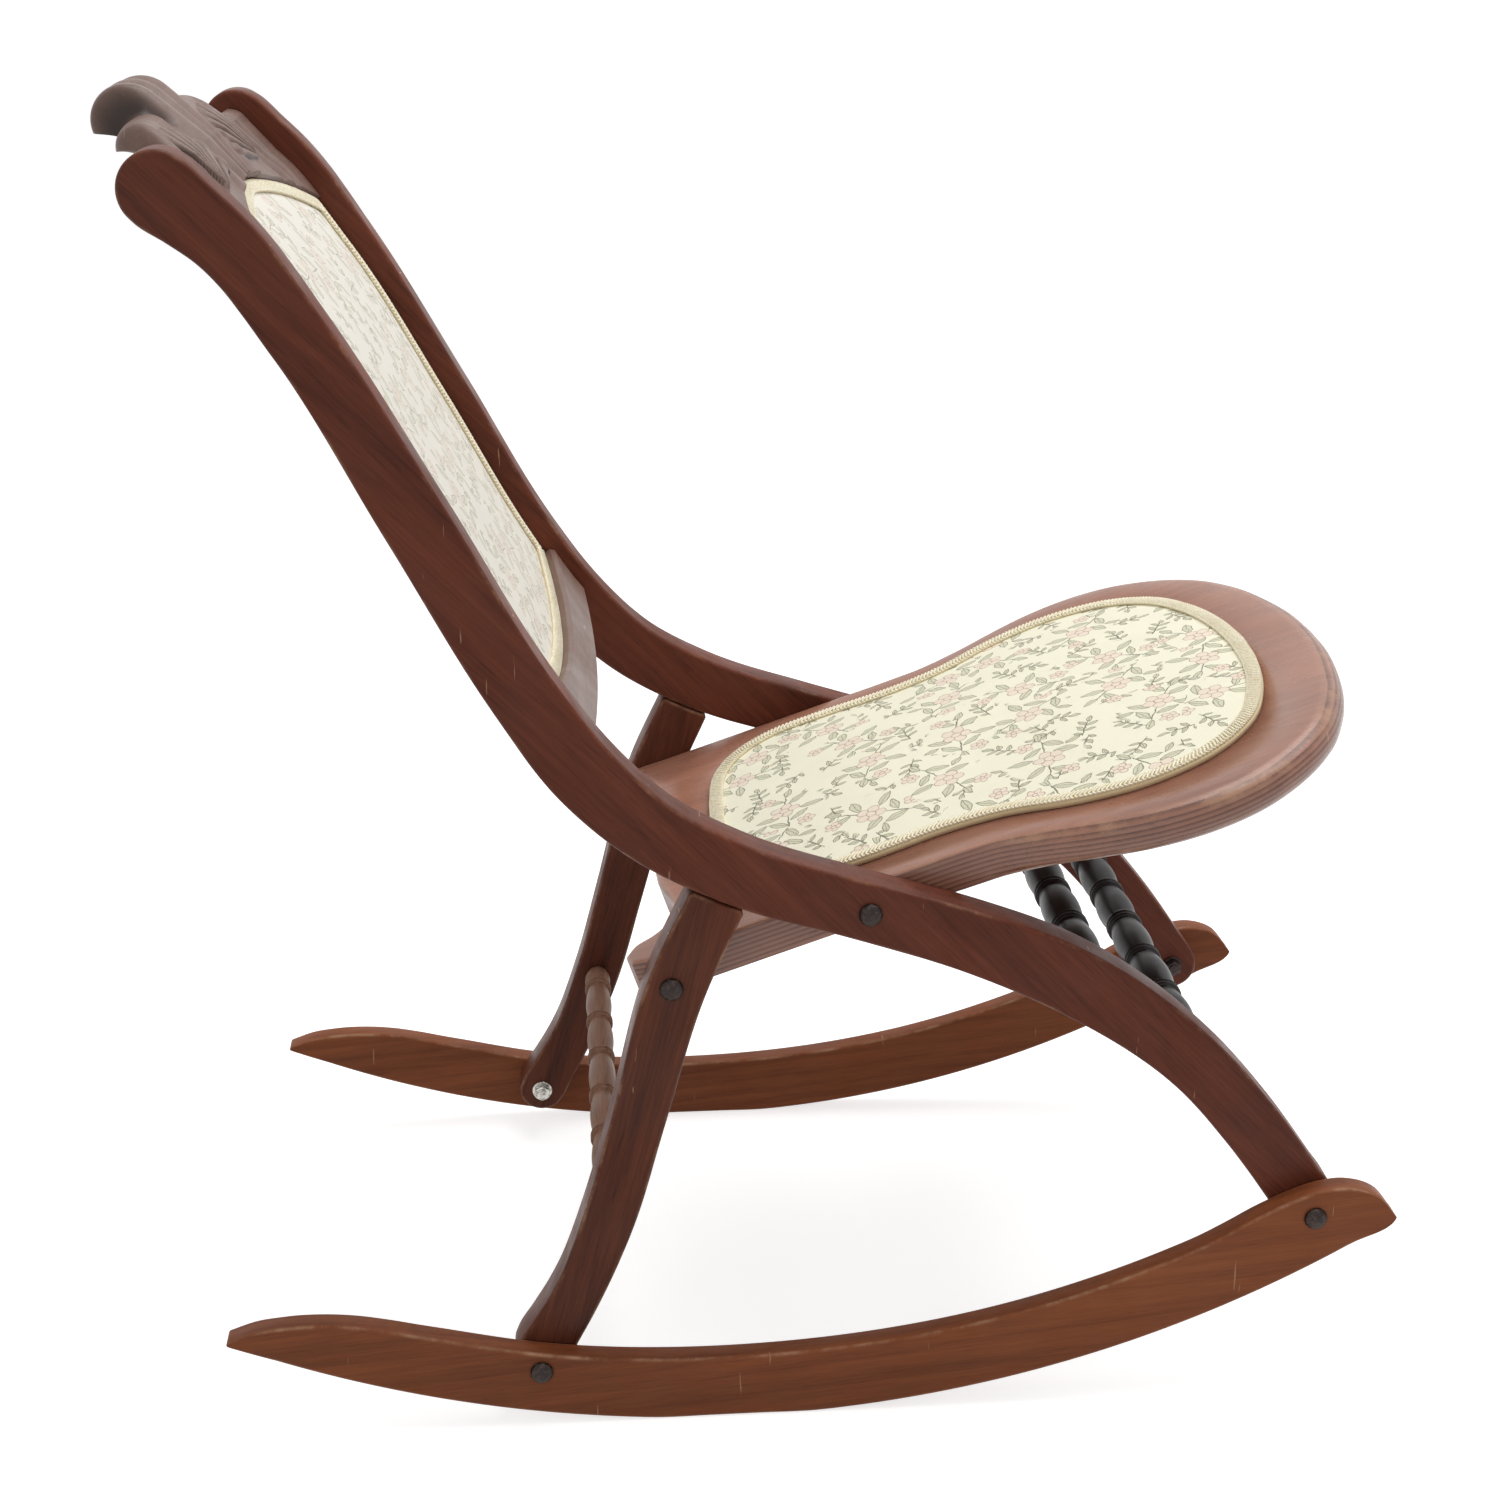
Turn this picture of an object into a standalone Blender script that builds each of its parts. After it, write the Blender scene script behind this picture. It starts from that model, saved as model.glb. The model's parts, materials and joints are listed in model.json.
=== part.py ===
"""Folding rocking chair with an upholstered seat and back, as an assembly of separate pieces.

+X is forward, +Y is the sitter's left and +Z is up, in metres. The origin is on the floor, at the
middle of the chair's length and width. Each side folds as a four-bar linkage of rocker, rear leg,
seat and back stile, with pivots at the front foot, the rear foot, the leg top and the seat side.
"""

import math

import bmesh
import bpy
import numpy as np

# Main sizes: over the rockers' sides, from tip to tip of a rocker, and up to the seat pivot's axis, then
# from there up and back to the middle of a stile's round top
WIDTH = 0.420
LENGTH = 0.736
SEAT_HEIGHT = 0.338
BACK_HEIGHT = 0.430
BACK_LEAN = 0.388

# Layers across the chair, from the outer face of a rocker inwards
ROCKER_T = 0.016
STILE_T = 0.026
SIDE_GAP = 0.0005

# Rocker: an arc below with a short flat to stand on, then shares of its length and of its depth over that
# arc
ROCKER_R = 0.765
ROCKER_REAR_X = -0.3432
ROCKER_LOW_X = -0.0262
ROCKER_FLAT = 0.100
ROCKER_W = 0.045
ROCKER_SHARES = (
    (0.0, 0.033), (0.01, 0.18), (0.03, 0.42), (0.06, 0.67), (0.11, 0.91), (0.16, 0.97), (0.27, 0.96),
    (0.45, 1.01), (0.69, 1.06), (0.83, 1.14), (0.91, 1.22), (0.95, 1.04), (0.975, 0.70), (0.99, 0.38),
    (1.0, 0.033),
)

# Feet: how far in from the rocker's tips their axes are, and how high over its under-edge
FRONT_FOOT_IN = 0.053
FRONT_FOOT_RISE = 0.0354
REAR_FOOT_IN = 0.194
REAR_FOOT_RISE = 0.03068

# Seat pivot, and the leg pivot behind and below it
SEAT_PIVOT_X = 0.0558
LEG_PIVOT_BACK = 0.120
LEG_PIVOT_DROP = 0.045

# Stile from its foot to the seat pivot, and on to its top: shares of the way back, the way up and its width
STILE_W = 0.040
STILE_LOWER_SHARES = (
    (0.0, 0.0, 0.95), (0.13, 0.25, 0.95), (0.26, 0.46, 0.95), (0.58, 0.78, 1.08), (0.79, 0.905, 1.0),
    (1.0, 1.0, 0.95),
)
STILE_UPPER_SHARES = (
    (0.0, 0.0, 0.95), (0.21, 0.065, 0.98), (0.33, 0.125, 1.0), (0.44, 0.22, 1.05), (0.52, 0.325, 1.0),
    (0.67, 0.57, 0.96), (0.825, 0.82, 0.88), (0.915, 0.935, 0.92), (1.0, 1.0, 1.08),
)

# Rear leg from its foot past the leg pivot to its top end, which butts under the stile, in the same way
LEG_W = 0.034
LEG_SHARES = (
    (0.0, 0.0, 1.0), (0.30, 0.185, 0.91), (0.515, 0.37, 0.97), (0.755, 0.655, 1.0), (1.04, 1.0, 1.08),
    (1.38, 1.255, 1.04),
)
STOP_GAP = 0.0006

# Pivot hardware
SHANK_R = 0.004
HEAD_R = 0.0072
HEAD_H = 0.005
HEAD_SHARES = (0.45, 0.8, 0.98)
WASHER_R = 0.0085
WASHER_T = 0.0012
NUT_R = 0.0068
NUT_H = 0.005
SCREW_DEPTH = 0.024
FIT = 0.0004
TOUCH = 0.0003

# Seat frame in its own plane, which slopes a little less than the line of its two pivots: u runs forward
# from the seat pivot, v is up from that axis. Outlines are shares of the depth in front of that pivot and
# of half the width between the stiles. At the rear they are shares of the notch's depth and of the way
# from the middle to an ear, then of an ear's length and width.
SEAT_TILT = math.radians(1.5)
SEAT_TOP = 0.008
SEAT_T = 0.026
EAR_LENGTH = 0.024
EAR_WIDTH = 0.032
EAR_SHARES = ((0.40, 0.0), (0.92, 0.22), (1.0, 0.52), (0.90, 0.82), (0.62, 1.0))
NOTCH_DEPTH = 0.009
NOTCH_SHARES = ((0.0, 0.0), (0.17, 0.40), (1.0, 0.74), (0.6, 0.88))
STRAIGHT_LENGTH = 0.060
SEAT_DEPTH = 0.338
SEAT_SHARES = (
    (0.25, 1.015), (0.33, 1.08), (0.43, 1.19), (0.53, 1.26), (0.615, 1.28), (0.71, 1.25), (0.80, 1.15),
    (0.88, 0.99), (0.945, 0.73), (0.982, 0.43), (0.996, 0.22), (1.0, 0.0),
)
RAIL_ROUND = 0.003
NOSE_ROUND = 0.0125
NOSE_EASE = 0.085
FABRIC_SHARES = (
    (-0.25, 0.0), (-0.243, 0.27), (-0.22, 0.54), (-0.17, 0.705), (-0.095, 0.80), (0.03, 0.82), (0.19, 0.81),
    (0.29, 0.845), (0.42, 0.96), (0.56, 1.01), (0.685, 0.945), (0.775, 0.78), (0.83, 0.525), (0.858, 0.24),
    (0.865, 0.0),
)
OPENING_INSET = 0.018
SEAT_PANEL_T = 0.007
SEAT_RIM = 0.003
SEAT_ROLL = 0.080
SEAT_CROWN = 0.009
PAD_RINGS = (1.0, 0.93, 0.84, 0.72, 0.55, 0.32)
GIMP_W = 0.010
GIMP_H = 0.003

# Back, along the stile's centre line: lengths run down it from its top, offsets run forward from it
CREST_FRONT = 0.011
CREST_REAR = -0.009
CREST_LOW = 0.072
CREST_ARCH = 0.044
ARCH_POWER = 1.5
SIDE_CURL_R = 0.0125
END_CURL = math.radians(45)
CURL = math.radians(90)
SHOULDER_RISE = 0.024
SHOULDER_W = 0.103
HOOD_RISE = 0.036
HOOD_CURL_R = 0.0165
HOOD_W = 0.042
HOOD_SWELL = 0.004
HOOD_THIN = 0.4
RELIEF = 0.003
FLUTES = 5
RIBS_AT = 0.091
RIBS_HALF = 0.022
RIB_STEP = 0.0086
RIB_RELIEF = 0.0021
BACK_LENGTH = 0.360
LOWER_ARCH = 0.022
LOWER_RAIL_W = 0.042
LOWER_RAIL_ARCH = 0.010
RAIL_FRONT = 0.011
RAIL_REAR = -0.009
BACK_PANEL_FRONT = 0.001
BACK_PANEL_T = 0.008
BACK_RIM = 0.004
BACK_ROLL = 0.055
BACK_CROWN = 0.006
PAD_SIDE_GAP = 0.002

# Turned stretchers: two between the stiles, at lengths up from the front foot, and one between the legs
FRONT_SPINDLES = (0.122, 0.205)
FRONT_SPINDLE_R = 0.0115
FRONT_SWELL = 0.0025
REAR_SPINDLE_Z = 0.135
REAR_SPINDLE_R = 0.0085
REAR_SWELL = 0.0020
BEAD_H = 0.0022
BEAD_L = 0.0045
BEADS = 2
BEAD_SHARES = (0.85, 0.51, 0.17)
TENON_R = 0.0062
TENON_L = 0.013

EDGE_ROUND = 0.0025
HOLE_SIDES = 16
ROUND_SIDES = 12
TURNED_SIDES = 10
BOARD_STEP = 0.020
OUTLINE_STEP = 0.008
FINE_STEP = 0.004
UNDER_POINTS = 15
LOOP_POINTS = 72
BOARD_POINTS = 120
ACROSS_POINTS = 16

# Worked out from the sizes above
HALF_WIDTH = WIDTH / 2
ROCKER_IN = HALF_WIDTH - ROCKER_T
STILE_OUT = ROCKER_IN - SIDE_GAP
STILE_IN = STILE_OUT - STILE_T
SEAT_HALF = STILE_IN - SIDE_GAP
BACK_HALF = STILE_IN - TOUCH
PAD_HALF = BACK_HALF - PAD_SIDE_GAP
HOLE_R = SHANK_R + FIT
SOCKET_R = TENON_R + FIT
ROCKER_FRONT_X = ROCKER_REAR_X + LENGTH
SEAT_ANGLE = math.atan2(LEG_PIVOT_DROP, LEG_PIVOT_BACK) - SEAT_TILT
PIVOT_SPAN = math.hypot(LEG_PIVOT_DROP, LEG_PIVOT_BACK)
EAR_BORE = (-PIVOT_SPAN * math.cos(SEAT_TILT), -PIVOT_SPAN * math.sin(SEAT_TILT))
SIDES = (("right", -1), ("left", 1))

WOOD = ((0.150, 0.058, 0.034), 0.36, 0.0)
RIM_WOOD = ((0.240, 0.105, 0.060), 0.38, 0.0)
CREST_WOOD = ((0.150, 0.110, 0.095), 0.42, 0.0)
PANEL_WOOD = ((0.160, 0.110, 0.075), 0.60, 0.0)
BLACK_WOOD = ((0.024, 0.019, 0.018), 0.30, 0.0)
PALE_WOOD = ((0.270, 0.150, 0.100), 0.45, 0.0)
CLOTH = ((0.780, 0.720, 0.560), 0.90, 0.0)
BRAID = ((0.720, 0.600, 0.370), 0.85, 0.0)
BLACK_IRON = ((0.045, 0.038, 0.036), 0.45, 0.8)
PLATED = ((0.600, 0.590, 0.570), 0.35, 1.0)


def rocker_under(x):
    """Height over the floor of the rocker's round under-edge."""
    level = math.sqrt(ROCKER_R**2 - (ROCKER_FLAT / 2) ** 2)
    return level - math.sqrt(ROCKER_R**2 - (x - ROCKER_LOW_X) ** 2)


def over_rocker(x, rise):
    return x, rocker_under(x) + rise


# Pivot axes in the side view, as (x, z)
FRONT_FOOT = over_rocker(ROCKER_FRONT_X - FRONT_FOOT_IN, FRONT_FOOT_RISE)
REAR_FOOT = over_rocker(ROCKER_REAR_X + REAR_FOOT_IN, REAR_FOOT_RISE)
SEAT_PIVOT = (SEAT_PIVOT_X, SEAT_HEIGHT)
LEG_PIVOT = (SEAT_PIVOT_X - LEG_PIVOT_BACK, SEAT_HEIGHT - LEG_PIVOT_DROP)
STILE_TOP = (SEAT_PIVOT_X - BACK_LEAN, SEAT_HEIGHT + BACK_HEIGHT)


def lengths_of(points):
    """Length along a line of points, at each of them."""
    return np.concatenate([[0.0], np.cumsum(np.linalg.norm(np.diff(points, axis=0), axis=1))])


def smooth(stations, step):
    """Evenly spaced points of a curve through the stations; a third column is carried along."""
    p = np.array(stations, float)
    along = lengths_of(p[:, :2])
    slope = np.gradient(p, along, axis=0)
    at = np.linspace(0.0, along[-1], max(2, round(along[-1] / step)) + 1)
    i = np.clip(np.searchsorted(along, at, side="right") - 1, 0, len(p) - 2)
    h = (along[i + 1] - along[i])[:, None]
    t = (at - along[i])[:, None] / h
    ends = (2 * t**3 - 3 * t**2 + 1) * p[i] + (3 * t**2 - 2 * t**3) * p[i + 1]
    return ends + h * ((t**3 - 2 * t**2 + t) * slope[i] + (t**3 - t**2) * slope[i + 1])


def left_of(steps):
    """Unit normals to the left of 2-D steps."""
    n = np.stack([-steps[:, 1], steps[:, 0]], axis=1)
    return n / np.linalg.norm(n, axis=1)[:, None]


def mitres(loop):
    """Offsets at a closed loop's corners that move each of its edges one unit to the left."""
    after = left_of(np.roll(loop, -1, axis=0) - loop)
    before = np.roll(after, 1, axis=0)
    return (before + after) / (1 + (before * after).sum(axis=1))[:, None]


def evenly(loop, count):
    """The closed loop again, with this many evenly spaced points."""
    ring = np.vstack([loop, loop[:1]])
    along = lengths_of(ring)
    at = np.arange(count) * along[-1] / count
    return np.stack([np.interp(at, along, ring[:, k]) for k in (0, 1)], axis=1)


def mirrored(half):
    """A closed loop, counter-clockwise in (u, y), from its +y half given from rear to front."""
    return np.vstack([half[::-1], half[1:-1] * (1, -1)])


def depth_inside(points, loop):
    """Distance from each 2-D point to the nearest edge of the closed loop."""
    ab = np.roll(loop, -1, axis=0) - loop
    t = ((points[:, None] - loop) * ab).sum(2) / (ab * ab).sum(1)
    near = loop + np.clip(t, 0.0, 1.0)[..., None] * ab
    return np.linalg.norm(points[:, None] - near, axis=2).min(axis=1)


def finish_of(name, look):
    color, roughness, metallic = look
    finish = bpy.data.materials.new(name)
    finish.use_nodes = True
    shader = finish.node_tree.nodes["Principled BSDF"]
    shader.inputs["Base Color"].default_value = (*color, 1.0)
    shader.inputs["Roughness"].default_value = roughness
    shader.inputs["Metallic"].default_value = metallic
    return finish


def mesh_object(name, bm):
    bmesh.ops.recalc_face_normals(bm, faces=bm.faces)
    mesh = bpy.data.meshes.new(name)
    bm.to_mesh(mesh)
    bm.free()
    obj = bpy.data.objects.new(name, mesh)
    bpy.context.collection.objects.link(obj)
    return obj


def piece(name, bm, look, parent=None, on_seat=False):
    """A finished object, hung on its joint's empty. Seat pieces are drawn in the seat's own plane."""
    obj = mesh_object(name, bm)
    obj.data.materials.append(finish_of(name, look))
    obj.data.shade_smooth()
    obj.data.set_sharp_from_angle(angle=math.radians(40))
    if on_seat:
        obj.location = (SEAT_PIVOT[0], 0.0, SEAT_PIVOT[1])
        obj.rotation_euler = (0.0, -SEAT_ANGLE, 0.0)
    if parent is not None:
        obj.parent = parent
        obj.matrix_parent_inverse = parent.matrix_world.inverted()
    bpy.context.view_layer.update()
    return obj


def joint_axis(name, pivot):
    """An empty on a joint's axis, which runs across the chair."""
    empty = bpy.data.objects.new(name, None)
    empty.location = (pivot[0], 0.0, pivot[1])
    bpy.context.collection.objects.link(empty)
    bpy.context.view_layer.update()
    return empty


def round_edges(obj):
    bevel = obj.modifiers.new("edges", "BEVEL")
    bevel.width = EDGE_ROUND
    bevel.limit_method = "ANGLE"
    bevel.angle_limit = math.radians(50)


def cut(obj, bm):
    """Takes the closed shapes in bm, drawn in the object's own frame, out of it."""
    cutter = mesh_object(obj.name + "_cut", bm)
    cutter.matrix_world = obj.matrix_world
    cutter.hide_render = True
    cutter.display_type = "WIRE"
    hole = obj.modifiers.new("cut", "BOOLEAN")
    hole.object = cutter


def join_rings(bm, rings, closed=False):
    """Faces between rings of vertices, either closing on the first ring again or capped at both ends."""
    pairs = list(zip(rings, rings[1:])) + ([(rings[-1], rings[0])] if closed else [])
    for a, b in pairs:
        for k in range(max(len(a), len(b))):
            quad = (a[k % len(a)], a[(k + 1) % len(a)], b[(k + 1) % len(b)], b[k % len(b)])
            bm.faces.new(list(dict.fromkeys(quad)))
    for ring in () if closed else (rings[0], rings[-1]):
        if len(ring) > 2:
            bm.faces.new(ring)


def add_slab(bm, outline, y0, y1):
    """A flat board: an outline in the side view, extruded across the chair."""
    face = bm.faces.new([bm.verts.new((x, y0, z)) for x, z in outline])
    made = bmesh.ops.extrude_face_region(bm, geom=[face])["geom"]
    verts = [v for v in made if isinstance(v, bmesh.types.BMVert)]
    bmesh.ops.translate(bm, verts=verts, vec=(0.0, y1 - y0, 0.0))


def circle(bm, pivot, y, radius, sides):
    turns = [2 * math.pi * k / sides for k in range(sides if radius > 0 else 1)]
    ring = [(pivot[0] + radius * math.cos(a), y, pivot[1] + radius * math.sin(a)) for a in turns]
    return [bm.verts.new(point) for point in ring]


def add_turned(bm, rows, pivot, sides):
    """A turned solid on a lateral axis, from (y, radius) rows; a zero radius closes on a point."""
    join_rings(bm, [circle(bm, pivot, y, r, sides) for y, r in rows])


def add_bores(bm, pivots, y0, y1, radius):
    for pivot in pivots:
        add_turned(bm, [(y0, radius), (y1, radius)], pivot, HOLE_SIDES)


def add_across(bm, places, section):
    """A solid from closed sections in the side view, one at each place across the chair."""
    join_rings(bm, [[bm.verts.new((x, y, z)) for x, z in section(y)] for y in places])


def band(path, round_end=True, grow=0.0):
    """Outline of a strip along (x, z, width) rows, half round at its start and, if asked, at its end."""
    centre, half = path[:, :2], path[:, 2:3] / 2 + grow
    n = left_of(np.gradient(centre, axis=0))
    turn = np.linspace(0.0, math.pi, 9)[1:-1, None]
    caps = []
    for k, way in ((-1, 1), (0, -1)):
        ahead = way * np.array([n[k, 1], -n[k, 0]])
        caps.append(centre[k] + half[k] * (way * n[k] * np.cos(turn) + ahead * np.sin(turn)))
    top = caps[0] if round_end else np.empty((0, 2))
    return np.vstack([centre + n * half, top, (centre - n * half)[::-1], caps[1]])


def spread(shares, start, end, width):
    """(x, z, width) rows from shares of the way between two points and shares of a width."""
    start, end = np.array(start), np.array(end)
    return [(*(start + (end - start) * row[:2]), width * row[2]) for row in np.array(shares)]


def stile_path(step):
    lower = spread(STILE_LOWER_SHARES, FRONT_FOOT, SEAT_PIVOT, STILE_W)
    return smooth(lower[:-1] + spread(STILE_UPPER_SHARES, SEAT_PIVOT, STILE_TOP, STILE_W), step)


def leg_path(step):
    return smooth(spread(LEG_SHARES, REAR_FOOT, LEG_PIVOT, LEG_W), step)


def front_spindle_axes():
    path = stile_path(FINE_STEP)[:, :2]
    along = lengths_of(path)
    return [tuple(float(np.interp(s, along, path[:, k])) for k in (0, 1)) for s in FRONT_SPINDLES]


def rear_spindle_axis():
    path = leg_path(FINE_STEP)
    return float(np.interp(REAR_SPINDLE_Z, path[:, 1], path[:, 0])), REAR_SPINDLE_Z


def rocker_outline():
    places = [(ROCKER_REAR_X + LENGTH * along, ROCKER_W * depth) for along, depth in ROCKER_SHARES]
    top = smooth([over_rocker(x, depth) for x, depth in places], BOARD_STEP)
    flat_rear, flat_front = ROCKER_LOW_X - ROCKER_FLAT / 2, ROCKER_LOW_X + ROCKER_FLAT / 2
    ahead = np.linspace(ROCKER_FRONT_X, flat_front, UNDER_POINTS)
    behind = np.linspace(flat_rear, ROCKER_REAR_X, UNDER_POINTS)
    return np.vstack([top, [over_rocker(x, 0.0) for x in (*ahead, *behind)]])


def make_rockers():
    for label, side in SIDES:
        bm = bmesh.new()
        add_slab(bm, rocker_outline(), side * ROCKER_IN, side * HALF_WIDTH)
        rocker = piece(f"rocker_{label}", bm, WOOD)
        round_edges(rocker)
        bores = bmesh.new()
        through = side * (ROCKER_IN - ROCKER_T), side * (HALF_WIDTH + ROCKER_T)
        add_bores(bores, (FRONT_FOOT, REAR_FOOT), *through, HOLE_R)
        cut(rocker, bores)


def make_stiles(parent):
    for label, side in SIDES:
        bm = bmesh.new()
        add_slab(bm, band(stile_path(BOARD_STEP)), side * STILE_IN, side * STILE_OUT)
        stile = piece(f"stile_{label}", bm, WOOD, parent)
        round_edges(stile)
        bores = bmesh.new()
        through = side * (STILE_IN - STILE_T), side * (STILE_OUT + STILE_T)
        add_bores(bores, (FRONT_FOOT, SEAT_PIVOT), *through, HOLE_R)
        blind = side * (STILE_IN - TENON_L), side * (STILE_IN + TENON_L + FIT)
        add_bores(bores, front_spindle_axes(), *blind, SOCKET_R)
        cut(stile, bores)


def make_legs(parent):
    for label, side in SIDES:
        bm = bmesh.new()
        add_slab(bm, band(leg_path(BOARD_STEP), round_end=False), side * STILE_IN, side * STILE_OUT)
        leg = piece(f"rear_leg_{label}", bm, WOOD, parent)
        through = side * (STILE_IN - STILE_T), side * (STILE_OUT + STILE_T)
        stop = bmesh.new()
        add_slab(stop, band(stile_path(BOARD_STEP), grow=STOP_GAP), *through)
        cut(leg, stop)
        round_edges(leg)
        bores = bmesh.new()
        add_bores(bores, (REAR_FOOT, LEG_PIVOT), *through, HOLE_R)
        blind = side * (STILE_IN - TENON_L), side * (STILE_IN + TENON_L + FIT)
        add_bores(bores, [rear_spindle_axis()], *blind, SOCKET_R)
        cut(leg, bores)


def spindle_rows(radius, swell):
    """(y, radius) rows of a turned stretcher: swells between groups of beads, and a tenon at each end."""
    waist = radius - swell / 2
    rows = [(STILE_IN + TENON_L, TENON_R), (STILE_IN - TOUCH, TENON_R)]
    outer = STILE_IN - TOUCH
    for share in BEAD_SHARES:
        inner = STILE_IN * share + BEADS * BEAD_L / 2
        for t in np.linspace(0.0, 1.0, 4):
            rows.append((outer + (inner - outer) * t, waist + swell * math.sin(math.pi * t)))
        for k in range(BEADS):
            for t in (0.3, 0.7, 1.0):
                rows.append((inner - BEAD_L * (k + t), waist + BEAD_H * math.sin(math.pi * t)))
        outer = inner - BEADS * BEAD_L
    for t in np.linspace(0.0, 1.0, 4)[1:]:
        rows.append((outer * (1 - t), waist + swell * math.sin(math.pi * t / 2)))
    return rows + [(-y, r) for y, r in rows[-2::-1]]


def make_spindles(back_frame, rear_legs):
    for label, axis in zip(("lower", "upper"), front_spindle_axes()):
        bm = bmesh.new()
        add_turned(bm, spindle_rows(FRONT_SPINDLE_R, FRONT_SWELL), axis, TURNED_SIDES)
        piece(f"front_spindle_{label}", bm, BLACK_WOOD, back_frame)
    bm = bmesh.new()
    add_turned(bm, spindle_rows(REAR_SPINDLE_R, REAR_SWELL), rear_spindle_axis(), TURNED_SIDES)
    piece("rear_spindle", bm, PALE_WOOD, rear_legs)


def headed(face, side, end):
    """Rows of a domed head on an outer face, with its shank running inwards to end."""
    seat = face + side * TOUCH
    rows = [(seat + side * HEAD_H, 0.0)]
    for share in HEAD_SHARES:
        rows.append((seat + side * HEAD_H * math.sqrt(1 - share**2), HEAD_R * share))
    return rows + [(seat, HEAD_R), (seat, SHANK_R), (end, SHANK_R)]


def make_washer(name, pivot, side, look, parent):
    """A plain washer against the inner face of a leg or stile, clear of the shank."""
    near = side * (STILE_IN - TOUCH)
    far = near - side * WASHER_T
    bm = bmesh.new()
    rows = ((near, WASHER_R), (far, WASHER_R), (far, HOLE_R), (near, HOLE_R))
    join_rings(bm, [circle(bm, pivot, y, r, HOLE_SIDES) for y, r in rows], closed=True)
    piece(name, bm, look, parent)


def hexagon(bm, pivot, y):
    """A ring of twelve vertices on a hexagon: its corners and the middles of its flats."""
    turns = [2 * math.pi * k / ROUND_SIDES for k in range(ROUND_SIDES)]
    reach = [NUT_R * (1.0 if k % 2 == 0 else math.cos(math.pi / 6)) for k in range(ROUND_SIDES)]
    return [bm.verts.new((pivot[0] + r * math.cos(a), y, pivot[1] + r * math.sin(a)))
            for r, a in zip(reach, turns)]


def nut_faces(side):
    near = side * (STILE_IN - WASHER_T - 2 * TOUCH)
    return near, near - side * NUT_H


def make_rear_bolts():
    """Bolts through rocker and leg at the rear foot, each with its washer and nut inside the leg."""
    for label, side in SIDES:
        near, far = nut_faces(side)
        bm = bmesh.new()
        add_turned(bm, headed(side * HALF_WIDTH, side, far - side * WASHER_T), REAR_FOOT, ROUND_SIDES)
        piece(f"rear_bolt_{label}", bm, BLACK_IRON)
        make_washer(f"rear_washer_{label}", REAR_FOOT, side, PLATED, None)
        bm = bmesh.new()
        rings = [hexagon(bm, REAR_FOOT, near), hexagon(bm, REAR_FOOT, far)]
        rings += [circle(bm, REAR_FOOT, y, HOLE_R, ROUND_SIDES) for y in (far, near)]
        join_rings(bm, rings, closed=True)
        piece(f"rear_nut_{label}", bm, PLATED)


def make_front_bolts(back_frame):
    """Front foot bolts, parted in two: the head stays in the rocker and the nut end in the stile."""
    for label, side in SIDES:
        bm = bmesh.new()
        add_turned(bm, headed(side * HALF_WIDTH, side, side * (ROCKER_IN + TOUCH)), FRONT_FOOT, ROUND_SIDES)
        piece(f"front_bolt_{label}", bm, BLACK_IRON)
        make_washer(f"front_washer_{label}", FRONT_FOOT, side, BLACK_IRON, back_frame)
        near, far = nut_faces(side)
        bm = bmesh.new()
        start = side * (STILE_OUT - TOUCH)
        shank = [circle(bm, FRONT_FOOT, y, SHANK_R, ROUND_SIDES) for y in (start, near)]
        join_rings(bm, [*shank, hexagon(bm, FRONT_FOOT, near), hexagon(bm, FRONT_FOOT, far)])
        piece(f"front_nut_{label}", bm, BLACK_IRON, back_frame)


def make_pivot_screws(seat):
    """Headed screws fixed in the seat's side rails, on which the stiles and the legs turn."""
    for name, pivot in (("seat_screw", SEAT_PIVOT), ("leg_screw", LEG_PIVOT)):
        for label, side in SIDES:
            bm = bmesh.new()
            tip = side * (SEAT_HALF - SCREW_DEPTH)
            add_turned(bm, headed(side * STILE_OUT, side, tip), pivot, ROUND_SIDES)
            piece(f"{name}_{label}", bm, BLACK_IRON, seat)


def seat_places(shares):
    return [(u * SEAT_DEPTH, y * SEAT_HALF) for u, y in shares]


def seat_outline():
    """The seat frame's outer edge: ears at the rear, straight sides, then a wide round front."""
    ear_in = SEAT_HALF - EAR_WIDTH
    notch = [(-PIVOT_SPAN + NOTCH_DEPTH * ahead, ear_in * out) for ahead, out in NOTCH_SHARES]
    ear = [(-PIVOT_SPAN - EAR_LENGTH * back, ear_in + EAR_WIDTH * out) for back, out in EAR_SHARES]
    rear = smooth(notch + ear, FINE_STEP)
    side = [(u, SEAT_HALF) for u in np.linspace(ear[-1][0], STRAIGHT_LENGTH, 14)[1:-1]]
    front = smooth(((STRAIGHT_LENGTH, SEAT_HALF), *seat_places(SEAT_SHARES)), OUTLINE_STEP)
    half = np.vstack([rear, side, front])
    half[:, 1] = np.where(half[:, 0] < STRAIGHT_LENGTH, np.minimum(half[:, 1], SEAT_HALF), half[:, 1])
    return mirrored(half)


def fabric_outline():
    return evenly(mirrored(smooth(seat_places(FABRIC_SHARES), FINE_STEP)), LOOP_POINTS)


def inset(loop, distance):
    return loop + mitres(loop) * distance


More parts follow.
